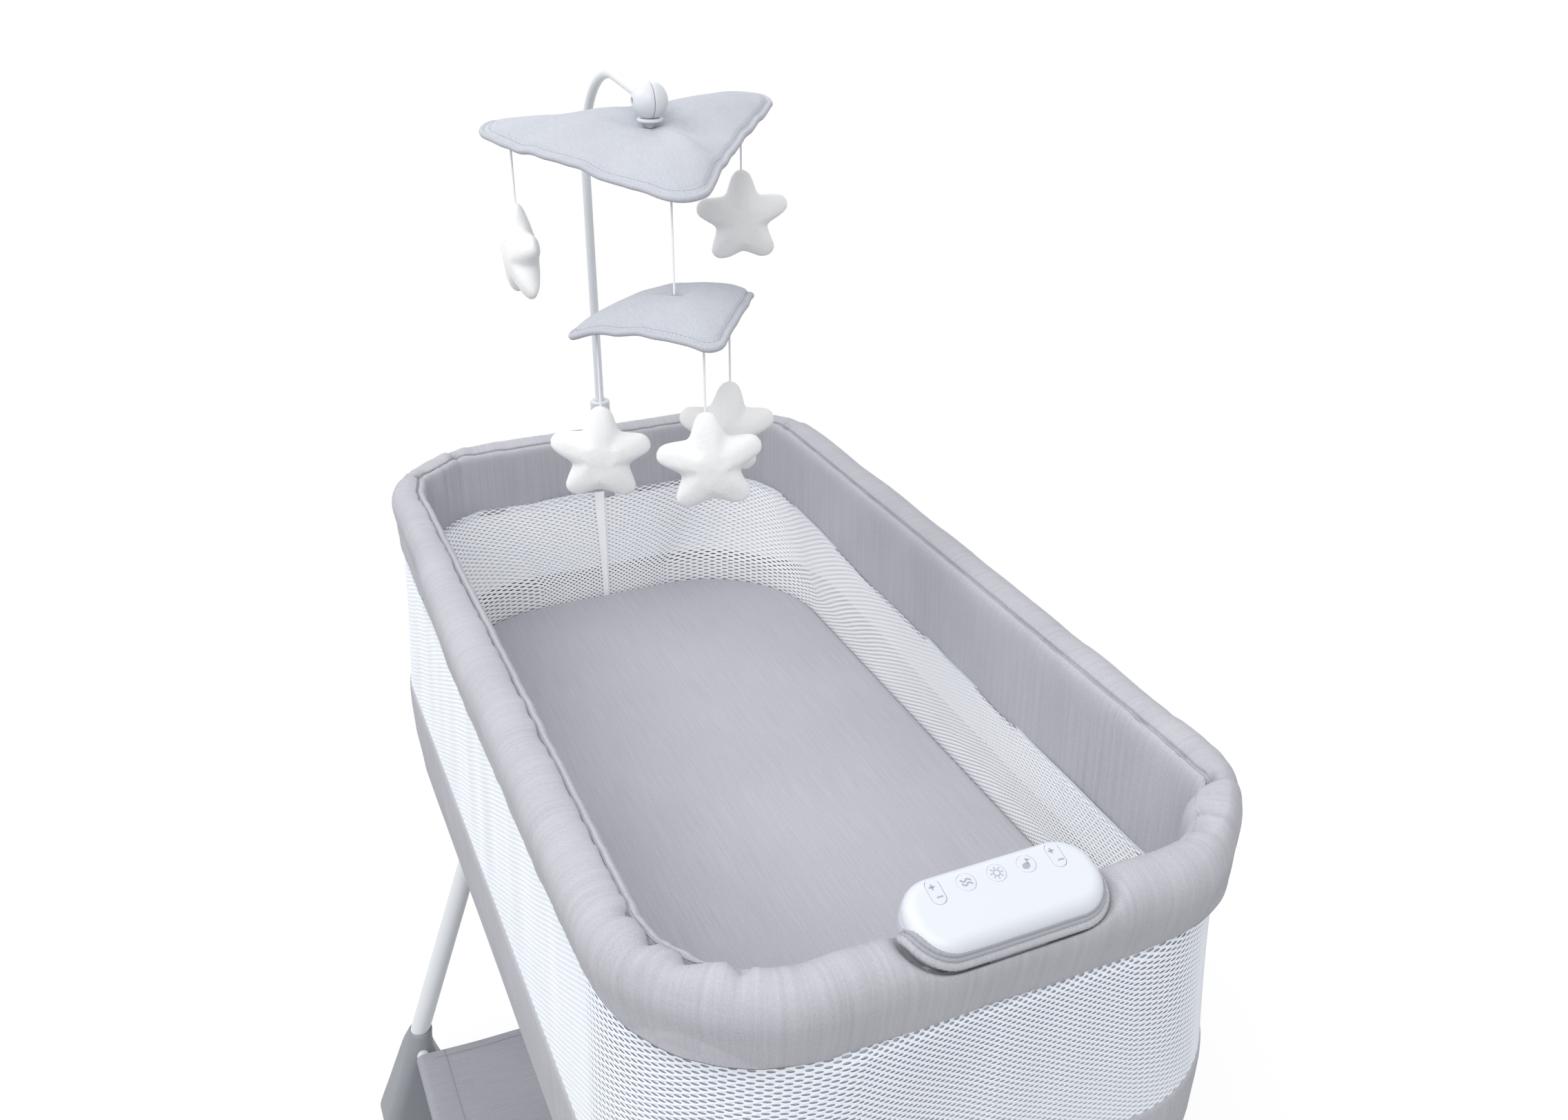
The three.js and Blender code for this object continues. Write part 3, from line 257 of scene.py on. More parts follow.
def knit(name, light, dark, streak=(420, 14)):
    """A soft heathered jersey, its slubs streaked along v."""
    r = start_material(name)
    slub = r.grain(*streak, 3.0, 0.65)
    flecks = r.grain(800, 360, 3.0, 0.75)
    broad = r.grain(6, 6)
    tone = r.total((slub, 0.6), (flecks, 0.75), (broad, 0.3))
    evened = r.math("SUBTRACT", tone, 0.33, clamp=True)
    relief = r.bump(r.math("ADD", slub, flecks), 0.5, 0.0002)
    return cloth_finish(r, light, dark, evened, r.spread(flecks, 0.88, 0.99), relief)


def net_yarn(name, light, dark):
    """Thin white knitted yarn."""
    r = start_material(name)
    twist = r.grain(1400, 1400)
    tone = r.total((twist, 0.5), (r.grain(16, 16), 0.5))
    return r.finish(
        Base_Color=r.blend(tone, colour(*dark), colour(*light)),
        Roughness=r.spread(twist, 0.7, 0.9),
        Normal=r.bump(twist, 0.4, 0.0003),
        Specular_IOR_Level=0.3,
    )


def plush(name, light, dark):
    """Short soft pile."""
    r = start_material(name)
    pile = r.noise(r.place(), 900.0, 3.0, 0.7)
    tufts = r.noise(r.place(), 260.0, 2.0, 0.6)
    return r.finish(
        Base_Color=r.blend(tufts, colour(*dark), colour(*light)),
        Roughness=r.spread(pile, 0.9, 1.0),
        Normal=r.bump(r.math("ADD", r.math("MULTIPLY", pile, 0.5), tufts), 0.5, 0.0009),
        Sheen_Weight=0.3,
        Sheen_Roughness=0.5,
        Specular_IOR_Level=0.1,
    )


def hard(name, light, dark, grain, cloud, roughness, relief, **more):
    """A hard finish: noise settings for its fine grain and for its broad clouds of tone, the range
    of its roughness, and the strength and depth of its relief."""
    r = start_material(name)
    fine = r.noise(r.place(), *grain)
    return r.finish(
        Base_Color=r.blend(r.noise(r.place(), *cloud), colour(*dark), colour(*light)),
        Roughness=r.spread(fine, *roughness),
        Normal=r.bump(fine, *relief),
        **more,
    )


def moulded(name, light, dark, roughness, depth=0.00002):
    """Injection-moulded plastic with a fine spark texture."""
    shine = (roughness - 0.05, roughness + 0.06)
    return hard(name, light, dark, (900.0, 2.0, 0.6), (9.0, 2.0), shine, (0.3, depth))


def painted(name, light, dark):
    """Powder-coated steel with a faint orange peel."""
    return hard(name, light, dark, (380.0, 2.0, 0.5), (6.0, 2.0), (0.27, 0.40), (0.25, 0.00005),
                Coat_Weight=0.2, Coat_Roughness=0.2)


def stained(name, light, dark, scale, metallic, roughness):
    """A plain mottled finish for the hidden pieces."""
    mottle = (scale, 4.0, 0.6)
    return hard(name, light, dark, mottle, mottle, (roughness - 0.1, roughness + 0.1), (0.2, 0.0001),
                Metallic=metallic)


ROLL = herringbone("heather_herringbone", (211, 210, 217), (145, 146, 153))
# The piping is the roll's herringbone made darker: painted shade for its place under the pod's shell.
PIPING_PAINTED_SHADE = herringbone("piping_cloth_painted_shade", (184, 186, 193), (142, 144, 151))
SLING = knit("sling_cloth", (172, 172, 180), (135, 136, 143), (500, 30))
SHEET = knit("heather_jersey", (201, 200, 208), (163, 162, 170))
CANOPY = knit("canopy_twill", (200, 202, 209), (155, 158, 166), (900, 60))
THREAD = knit("stitch_thread", (180, 182, 190), (150, 152, 162), (2000, 2000))
BRAID = knit("white_braid", (250, 250, 252), (234, 235, 238), (2500, 2500))
NET = net_yarn("net_yarn", (255, 255, 255), (249, 251, 255))
NET_LINING = net_yarn("net_lining", (242, 245, 251), (233, 237, 245))
# The outer net is the same white yarn as the inner one, made darker to offset the stronger light outside the
# basket: painted shade.
OUTER_NET_PAINTED_SHADE = net_yarn("outer_net_yarn_painted_shade", (241, 244, 250), (234, 237, 244))
# The outer net's closed back is grey as painted shade: the shaded gap between the nets, seen through the
# openings.
NET_BACK_PAINTED_SHADE = net_yarn("net_back", (192, 196, 205), (180, 184, 194))
PLUSH = plush("star_plush", (240, 240, 239), (233, 233, 233))
POD_WHITE = moulded("pod_white", (212, 215, 222), (207, 211, 218), 0.36)
KEY_WHITE = moulded("key_white", (210, 213, 220), (206, 210, 217), 0.42)
PRINT = moulded("grey_print", (164, 168, 177), (156, 160, 169), 0.5)
HUB_WHITE = moulded("hub_white", (213, 215, 219), (207, 210, 214), 0.35)
FOOT_GREY = moulded("foot_grey", (142, 146, 152), (132, 137, 143), 0.45, 0.00005)
SADDLE_GREY = moulded("saddle_grey", (170, 172, 176), (160, 162, 167), 0.5, 0.00005)
PAINT = painted("white_powder_coat", (219, 222, 225), (212, 215, 219))
STEEL = stained("screw_steel", (190, 192, 195), (165, 168, 172), 700.0, 0.9, 0.35)
FOAM = stained("pad_cover", (236, 234, 230), (226, 224, 220), 120.0, 0.0, 0.85)
BOARD = stained("pressed_board", (178, 152, 118), (150, 124, 92), 90.0, 0.0, 0.75)
CIRCUIT = stained("circuit_green", (44, 112, 72), (34, 92, 60), 300.0, 0.0, 0.5)
CELLS = stained("cell_wrap", (92, 94, 98), (76, 78, 82), 60.0, 0.0, 0.5)
CONE = stained("speaker_cone", (48, 48, 50), (36, 36, 38), 200.0, 0.0, 0.7)


# ------------------------------------------------------------------ mesh helpers
WELD = 1e-6  # points closer together than this are one


def link(name, mesh, material):
    made = bpy.data.objects.new(name, mesh)
    bpy.context.scene.collection.objects.link(made)
    mesh.materials.append(material)
    return made


def settle(piece, body, slot, *nodes):
    """Gives a piece its body and hides the CAD nodes that it stands for; the material slot is not used."""
    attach(piece, body)
    if nodes:
        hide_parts(*nodes)


@contextlib.contextmanager
def edited(mesh):
    """The mesh opened for editing; its faces are turned outwards when it closes."""
    shape = bmesh.new()
    shape.from_mesh(mesh)
    shape.verts.ensure_lookup_table()
    yield shape
    bmesh.ops.recalc_face_normals(shape, faces=shape.faces)
    shape.to_mesh(mesh)
    shape.free()


def faces_object(name, points, faces, uv, material):
    """points (n, 3), faces (f, k) of one size, uv (f, k, 2)."""
    mesh = bpy.data.meshes.new(name)
    mesh.vertices.add(len(points))
    mesh.vertices.foreach_set("co", np.asarray(points, np.float32).ravel())
    mesh.loops.add(faces.size)
    mesh.loops.foreach_set("vertex_index", faces.ravel().astype(np.int32))
    mesh.polygons.add(len(faces))
    mesh.polygons.foreach_set("loop_start", (np.arange(len(faces)) * faces.shape[1]).astype(np.int32))
    mesh.polygons.foreach_set("use_smooth", np.full(len(faces), True))
    mesh.update(calc_edges=True)
    layer = mesh.uv_layers.new(name="UVMap")
    layer.data.foreach_set("uv", np.asarray(uv, np.float32).ravel())
    mesh.validate()
    return link(name, mesh, material)


def grid_object(name, points, u, v, material, wrap_u=False, wrap_v=False, flip=False):
    """A sheet of points (n, m, 3). u and v are the distances at its rows and columns, with one
    more value where the sheet closes on itself."""
    n, m = points.shape[:2]
    rows = np.arange(n if wrap_u else n - 1)
    columns = np.arange(m if wrap_v else m - 1)
    i, j = (x.ravel() for x in np.meshgrid(rows, columns, indexing="ij"))
    i2, j2 = (i + 1) % n, (j + 1) % m
    corners = [(i, j, i, j), (i2, j, i + 1, j), (i2, j2, i + 1, j + 1), (i, j2, i, j + 1)]
    if flip:
        corners = corners[::-1]
    faces = np.stack([a * m + b for a, b, _, _ in corners], 1)
    u, v = np.asarray(u), np.asarray(v)
    if u.ndim == 1:
        uv = np.stack([np.stack([u[a], v[b]], 1) for _, _, a, b in corners], 1)
    else:
        uv = np.stack([np.stack([u[a, b], v[a, b]], 1) for _, _, a, b in corners], 1)
    return faces_object(name, points.reshape(-1, 3), faces, uv, material)


def run_length(points):
    """Distance along a polyline, from 0."""
    steps = np.linalg.norm(np.diff(points, axis=0), axis=1)
    return np.concatenate([[0], np.cumsum(steps)])


def smooth_line(points, count, closed=False):
    """A Catmull-Rom line through points, resampled to count even steps."""
    p = np.asarray(points, float)
    if closed:
        p = np.concatenate([p[-1:], p, p[:2]])
    else:
        p = np.concatenate([2 * p[:1] - p[1:2], p, 2 * p[-1:] - p[-2:-1]])
    pieces = []
    t = np.linspace(0, 1, 12, endpoint=False)[:, None]
    for a, b, c, d in zip(p, p[1:], p[2:], p[3:]):
        curve = 2 * b + (c - a) * t + (2 * a - 5 * b + 4 * c - d) * t**2
        pieces.append(0.5 * (curve + (3 * b - a - 3 * c + d) * t**3))
    line = np.concatenate(pieces + [p[-2:-1]])
    along = run_length(line)
    return resampled(line, np.linspace(0, along[-1], count, endpoint=not closed), along)


def resampled(line, wanted, along):
    """The points of a line at these distances along it."""
    return np.stack([np.interp(wanted, along, column) for column in line.T], 1)


def sweep(name, path, radius, material, sides, closed=False):
    """A round tube along path; radius is one number or one per point."""
    path = np.asarray(path, float)
    n = len(path)
    ahead = np.roll(path, -1, 0) - np.roll(path, 1, 0)
    if not closed:
        ahead[0], ahead[-1] = path[1] - path[0], path[-1] - path[-2]
    ahead /= np.linalg.norm(ahead, axis=1)[:, None]
    start = np.array([0, 0, 1.0]) if abs(ahead[0, 2]) < 0.9 else np.array([0, 1.0, 0])
    side = np.cross(ahead[0], start)
    side /= np.linalg.norm(side)
    frames = []
    for direction in ahead:
        side = side - direction * (side @ direction)
        side /= np.linalg.norm(side)
        frames.append((side, np.cross(direction, side)))
    angle = 2 * np.pi * np.arange(sides) / sides
    radius = np.broadcast_to(radius, n)
    rings = np.array([
        p + r * (np.outer(np.cos(angle), s) + np.outer(np.sin(angle), t))
        for p, r, (s, t) in zip(path, radius, frames)
    ])
    u = run_length(np.concatenate([path, path[:1]]) if closed else path)
    v = np.arange(sides + 1) / sides * 2 * np.pi * float(np.mean(radius))
    made = grid_object(name, rings, u, v, material, wrap_u=closed, wrap_v=True, flip=True)
    if not closed:
        close_ends(made, n, sides)
    return made


def painted_tube(name, path, radius, sides, slot, node, body=COT):
    """A painted steel tube that stands for a CAD one."""
    made = sweep(name, path, radius, PAINT, sides)
    sharpen(made, 50)
    settle(made, body, slot, node)


def thread_line(name, path, radius=0.0005, material=THREAD, closed=False):
    """A row of stitching, seen as one thin line."""
    settle(sweep(name, path, radius, material, 6, closed), COT, "grey_fabric")


def close_ends(made, rows, columns):
    """Closes the first and the last row of a grid with one face each."""
    with edited(made.data) as shape:
        for first in (0, (rows - 1) * columns):
            shape.faces.new(shape.verts[first:first + columns])


def lathe(name, profile, centre, axis, material, sides):
    """Turns (radius, height) pairs about axis through centre."""
    profile = np.asarray(profile, float)
    turn = Vector((0, 0, 1)).rotation_difference(Vector(axis)).to_matrix()
    angle = 2 * np.pi * np.arange(sides) / sides
    ring = np.stack([np.cos(angle), np.sin(angle)], 1)
    points = np.empty((len(profile), sides, 3))
    points[:, :, :2] = profile[:, None, :1] * ring
    points[:, :, 2] = profile[:, None, 1]
    points = points @ np.array(turn).T + np.array(centre)
    u = run_length(profile)
    v = np.arange(sides + 1) / sides * 2 * np.pi * float(profile[:, 0].max())
    made = grid_object(name, points, u, v, material, wrap_v=True, flip=True)
    close_ends(made, len(profile), sides)
    with edited(made.data) as shape:
        bmesh.ops.remove_doubles(shape, verts=shape.verts, dist=WELD)
    return made


def loft_object(name, loops, material):
    """Skins loops of points (k, m, 3), bottom to top, anticlockwise from above."""
    loops = np.asarray(loops, float)
    k, m = loops.shape[:2]
    around = run_length(np.concatenate([loops[k // 2], loops[k // 2][:1]]))
    up = run_length(loops[:, 0])
    made = grid_object(name, loops, up, around, material, wrap_v=True, flip=True)
    close_ends(made, k, m)
    return made


def use(made, kind, **settings):
    modifier = made.modifiers.new(kind.lower(), kind)
    for key, value in settings.items():
        setattr(modifier, key, value)
    return modifier


def apply_modifiers(made):
    bpy.context.view_layer.update()
    graph = bpy.context.evaluated_depsgraph_get()
    mesh = bpy.data.meshes.new_from_object(made.evaluated_get(graph))
    made.modifiers.clear()
    made.data = mesh


def sharpen(made, degrees):
    """Smooth shading, with hard edges only above this angle."""
    made.data.shade_smooth()
    made.data.set_sharp_from_angle(angle=math.radians(degrees))


def softened_copy(node, name, width, material):
    """A CAD piece's own shape with its edges rounded, to stand for it."""
    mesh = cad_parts[node].data.copy()
    mesh.materials.clear()
    made = link(name, mesh, material)
    with edited(mesh) as shape:
        bmesh.ops.remove_doubles(shape, verts=shape.verts, dist=WELD)
        bmesh.ops.dissolve_limit(shape, angle_limit=math.radians(1), verts=shape.verts, edges=shape.edges)
    use(made, "BEVEL", width=width, segments=2, limit_method="ANGLE", angle_limit=math.radians(40),
        harden_normals=False)
    apply_modifiers(made)
    sharpen(made, 40)
    return made


def ripple(points, scale, seed):
    """Smooth noise between about -1 and 1 at each point."""
    shift = Vector((seed * 7.3, seed * 3.1, seed * 5.7))
    flat = np.asarray(points, float).reshape(-1, 3) * scale
    values = [noise.noise(Vector(p) + shift) for p in flat]
    return np.array(values).reshape(np.asarray(points).shape[:-1])


def ripple_line(distance, scale, seed):
    """Noise along the rim, the same where its ends meet."""
    turn = 2 * np.pi * np.asarray(distance, float) / Plan.AROUND
    radius = scale * Plan.AROUND / (2 * np.pi)
    return np.array([
        noise.noise(Vector((radius * math.cos(a) + seed * 11.7, radius * math.sin(a), seed * 3.3)))
        for a in turn.ravel()
    ]).reshape(turn.shape)


def bell(distance, width):
    """1 at no distance, falling away smoothly over about this width."""
    return np.exp(-((distance / width) ** 2))


def ramp(value, start, width):
    """0 up to start, then rising to 1 over this width."""
    return np.clip((value - start) / width, 0, 1)


# ------------------------------------------------------------------ the basket's plan
class Plan:
    """A rounded rectangle. Every plan is divided at the same shares, so that sheets between two
    plans run straight. Share 0 is the middle of the head end; shares run past the left side,
    the foot end and the right side."""

    LENGTHS = np.array([
        RIM_A - RIM_R, math.pi / 2 * RIM_R, 2 * (RIM_B - RIM_R), math.pi / 2 * RIM_R,
        2 * (RIM_A - RIM_R), math.pi / 2 * RIM_R, 2 * (RIM_B - RIM_R), math.pi / 2 * RIM_R, RIM_A - RIM_R,
    ])
    AROUND = float(LENGTHS.sum())
    STARTS = np.concatenate([[0], np.cumsum(LENGTHS)]) / AROUND

    def __init__(self, a, b, r):
        self.a, self.b, self.r = a, b, r

    def grow(self, by, extra=0.0):
        return Plan(self.a + by, self.b + by, self.r + by + extra)

    def at(self, share):
        """Points and outward directions (n, 2) at these shares of the way round."""
        share = np.asarray(share, float) % 1.0
        a, b, r = self.a, self.b, self.r
        piece = np.clip(np.searchsorted(self.STARTS, share, side="right") - 1, 0, 8)
        part = (share - self.STARTS[piece]) / (self.LENGTHS[piece] / self.AROUND)
        # Corners: side of x, side of y, heading in degrees at the start. Straights: start, end, normal.
        corners = {1: (-1, 1, 90), 3: (-1, -1, 180), 5: (1, -1, 270), 7: (1, 1, 0)}
        lines = {
            0: ((0, b), (-(a - r), b), (0, 1)),
            2: ((-a, b - r), (-a, -(b - r)), (-1, 0)),
            4: ((-(a - r), -b), (a - r, -b), (0, -1)),
            6: ((a, -(b - r)), (a, b - r), (1, 0)),
            8: ((a - r, b), (0, b), (0, 1)),
        }
        points = np.zeros(share.shape + (2,))
        normals = np.zeros(share.shape + (2,))
        for k, (start, end, normal) in lines.items():
            on = piece == k
            points[on] = np.array(start) + part[on][:, None] * (np.array(end) - np.array(start))
            normals[on] = normal
        for k, (sx, sy, first) in corners.items():
            on = piece == k
            angle = np.radians(first + 90 * part[on])
            normals[on] = np.stack([np.cos(angle), np.sin(angle)], 1)
            points[on] = np.array([sx * (a - r), sy * (b - r)]) + r * normals[on]
        return points, normals

    def ring(self, share, z):
        points, _ = self.at(share)
        return np.column_stack([points, np.full(len(points), z)])


RIM = Plan(RIM_A, RIM_B, RIM_R)
CORNERS = {"far_left": 1, "near_left": 3, "near_right": 5, "far_right": 7}


def corner_share(name, part=0.5):
    k = CORNERS[name]
    return Plan.STARTS[k] + part * (Plan.STARTS[k + 1] - Plan.STARTS[k])


def share_gap(share, other):
    """Distance round the rim, in metres, from other."""
    gap = (np.asarray(share) - other + 0.5) % 1.0 - 0.5
    return gap * Plan.AROUND


def moved(points, matrix):
    return np.asarray(points, float) @ np.array(matrix.to_3x3()).T + np.array(matrix.translation)


def pod_space(points):
    """Points in the pod's own frame."""
    return moved(points, POD_MATRIX.inverted())


def from_pod(points):
    """Points of the pod's frame where they stand in the world."""
    return moved(points, POD_MATRIX)


def rounded_distance(x, y, a, b, r):
    """Signed distance to a rounded rectangle, below 0 inside."""
    qx, qy = np.abs(x) - (a - r), np.abs(y) - (b - r)
    outside = np.hypot(np.maximum(qx, 0), np.maximum(qy, 0))
    return outside + np.minimum(np.maximum(qx, qy), 0) - r


# ------------------------------------------------------------------ strings
def make_strings():
    for name in ("left", "right", "front", "lower_left", "lower_front", "lower_back"):
        low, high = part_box(f"string_{name}")
        centre = middle(f"string_{name}")
        top = Vector((centre.x, centre.y, high.z))
        end = Vector((centre.x, centre.y, low.z))
        curve = bpy.data.curves.new(f"braid_{name}", "CURVE")
        curve.dimensions = "3D"
        curve.bevel_depth = (high.x - low.x) / 2
        curve.bevel_resolution = 3
        curve.use_fill_caps = True
        line = curve.splines.new("POLY")
        count = 16
        line.points.add(count - 1)
        for k, point in enumerate(line.points):
            point.co = (*top.lerp(end, k / (count - 1)), 1)
        piece = bpy.data.objects.new(f"braid_{name}", curve)
        bpy.context.scene.collection.objects.link(piece)
        curve.materials.append(BRAID)
        body = "tier_string" if name == "front" else f"hanging_star_{name}"
        settle(piece, body, "cord_textile", f"string_{name}")


make_strings()

# ------------------------------------------------------------------ padded rim
STATIONS = 640  # places round the basket at which the roll's section stands
# The roll in section: distance outwards from the rim tube's centre line and height over it.
OUTER_FACE = [(0.0095, -0.0335), (0.0130, -0.0300), (0.0165, -0.0160), (0.0195, 0.0000), (0.0200, 0.0100),
              (0.0175, 0.0200), (0.0110, 0.0275), (0.0020, 0.0312), (-0.0060, 0.0314), (-0.0120, 0.0296),
              (-0.0166, 0.0262)]
INNER_FACE = [(-0.0166, 0.0262), (-0.0188, 0.0260), (-0.0210, 0.0249), (-0.0229, 0.0222), (-0.0241, 0.0170),
              (-0.0245, 0.0080), (-0.0238, -0.0200), (-0.0232, -0.0500), (-0.0222, -0.0535)]
# The same stretch where the cover turns over the edge with no stitched line, at the foot end.
ROUND_FACE = [(-0.0166, 0.0262), (-0.0186, 0.0243), (-0.0206, 0.0214), (-0.0224, 0.0172), (-0.0236, 0.0120),
              (-0.0243, 0.0050), (-0.0238, -0.0200), (-0.0232, -0.0500), (-0.0222, -0.0535)]
BACK_FACE = [(-0.0196, -0.0530), (-0.0185, -0.0060), (-0.0140, 0.0060), (-0.0098, 0.0102), (0.0070, 0.0102),
             (0.0114, 0.0060), (0.0118, -0.0060), (0.0085, -0.0300)]
# The stitched line: depth of its groove, and its place in the section.
SEAM_DEPTH = 0.0026
SEAM_OUT, SEAM_UP = OUTER_FACE[-1]
FOOT_SEAM_X = 0.005  # the short join in the cover below the pod
# Joins across the roll and down its inner band, as shares of the corner's turn: for the roll the
# place at the stitched line and the place at the outer edge.
ROLL_JOINS = (("far_left", 0.63, 0.51), ("far_left", 0.22, 0.24),
              ("far_right", 0.17, 0.13), ("near_right", 0.70, 0.76))
BAND_JOINS = (("far_left", 0.42), ("far_left", 0.22), ("far_right", 0.37), ("near_right", 0.62))
SEAM_ENDS = (("near_left", 0.50), ("near_right", 0.70))  # the stitched line stops here, towards the foot
DIMPLES = {"near_left": (0.04, 0.24, 0.44, 0.67), "near_right": (0.31, 0.70), "far_left": (0.63, 0.22),
           "far_right": (0.17,)}
# Corner, share of its turn and size.
DEEP_DIMPLES = (("near_right", 0.70, 1.5), ("near_right", 0.45, 1.2))
RAIL_DIMPLES = (-0.359, -0.307)  # y, on the right side


def foot_share(x):
    """Share of the way round at this x on the foot end."""
    return Plan.STARTS[4] + (x + RIM_A - RIM_R) / Plan.AROUND


def right_share(y):
    """Share of the way round at this y on the right side."""
    return Plan.STARTS[6] + (y + RIM_B - RIM_R) / (2 * (RIM_B - RIM_R)) * (Plan.STARTS[7] - Plan.STARTS[6])


def corner_weight(share):
    """1 at the middle of a corner, fading out beside it."""
    total = np.zeros_like(share)
    for name in CORNERS:
        total += bell(share_gap(share, corner_share(name)), 0.055)
    return np.minimum(total, 1)


def head_weight(share):
    """1 at the head end, 0 at the foot end."""
    points, _ = RIM.at(share)
    return ramp(points[:, 1], -RIM_B, 2 * RIM_B)


def pulled_in(share):
    """How far the cover is drawn in round the outside of the corners and along the head's left side."""
    tight = 0.0072 * corner_weight(share)
    tight += 0.0026 * bell(share_gap(share, corner_share("near_right")), 0.055)
    points, _ = RIM.at(share)
    left = (points[:, 0] < 0) * ramp(points[:, 1], 0.10, 0.14) * 0.0080
    return np.minimum(np.maximum(tight, left), 0.0098)


def stitched(share):
    """1 where the roll's stitched line shows, 0 round the foot end."""
    start, end = (corner_share(name, part) for name, part in SEAM_ENDS)
    width = 0.014 / Plan.AROUND
    return 1 - ramp(share, start - width / 2, width) * ramp(-share, -end - width / 2, width)


def graded(points, count, towards):
    """A smooth line with its points closer together towards its end (1) or its start (0)."""
    t = np.linspace(0, 1, count)
    t = 1 - (1 - t) ** 1.45 if towards else t**1.45
    return resampled(smooth_line(points, 400), t * 399, np.arange(400))


# How much lower the inner band and the net's top edge hang than at the head, round the basket.
# Corner, share of its turn and drop in metres; HEAD_DROP is the drop at the head end's middle.
BAND_DROPS = (("far_left", 0.5, 0.001), ("near_left", 0.0, 0.008), ("near_left", 1.0, 0.012),
              ("near_right", 0.0, 0.006), ("near_right", 0.45, 0.010), ("near_right", 0.8, 0.028),
              ("near_right", 1.0, 0.034), ("far_right", 0.0, 0.016), ("far_right", 0.6, 0.008))
HEAD_DROP = 0.003


def band_drop(share):
    places = [corner_share(name, part) for name, part, _ in BAND_DROPS]
    drops = [drop for _, _, drop in BAND_DROPS]
    return np.interp(np.asarray(share) % 1.0, [0.0, *places, 1.0], [HEAD_DROP, *drops, HEAD_DROP])


def skirt_of_roll(share):
    """How much lower the roll's outer edge hangs, along the left side."""
    points, _ = RIM.at(share)
    along_side = ramp(points[:, 1], -0.36, 0.16) * ramp(-points[:, 1], -0.40, 0.14)
    return 0.0115 * ramp(-points[:, 0], 0.04, 0.2) * along_side


# Corner, share of its turn, depth and width of each crease.
CREASES = (("far_left", 0.63, 0.0055, 0.016), ("far_left", 0.22, 0.0050, 0.016),
           ("far_right", 0.27, 0.0045, 0.020), ("near_right", 0.74, 0.0060, 0.014),
           ("near_right", 0.53, -0.0060, 0.017))


def crease_push(share):
    """How far the corners' creases draw the inner edge outwards."""
    return sum(depth * bell(share_gap(share, corner_share(name, part)), width)
               for name, part, depth, width in CREASES)


def pinches(distance, scale, seed):
    """Narrow grooves where slow noise crosses zero, from -1 in a groove up to 0."""
    value = ripple_line(distance, scale, seed)
    return -bell(value, 0.10) * (0.55 + 0.45 * ripple_line(distance, 14.0, seed + 1))


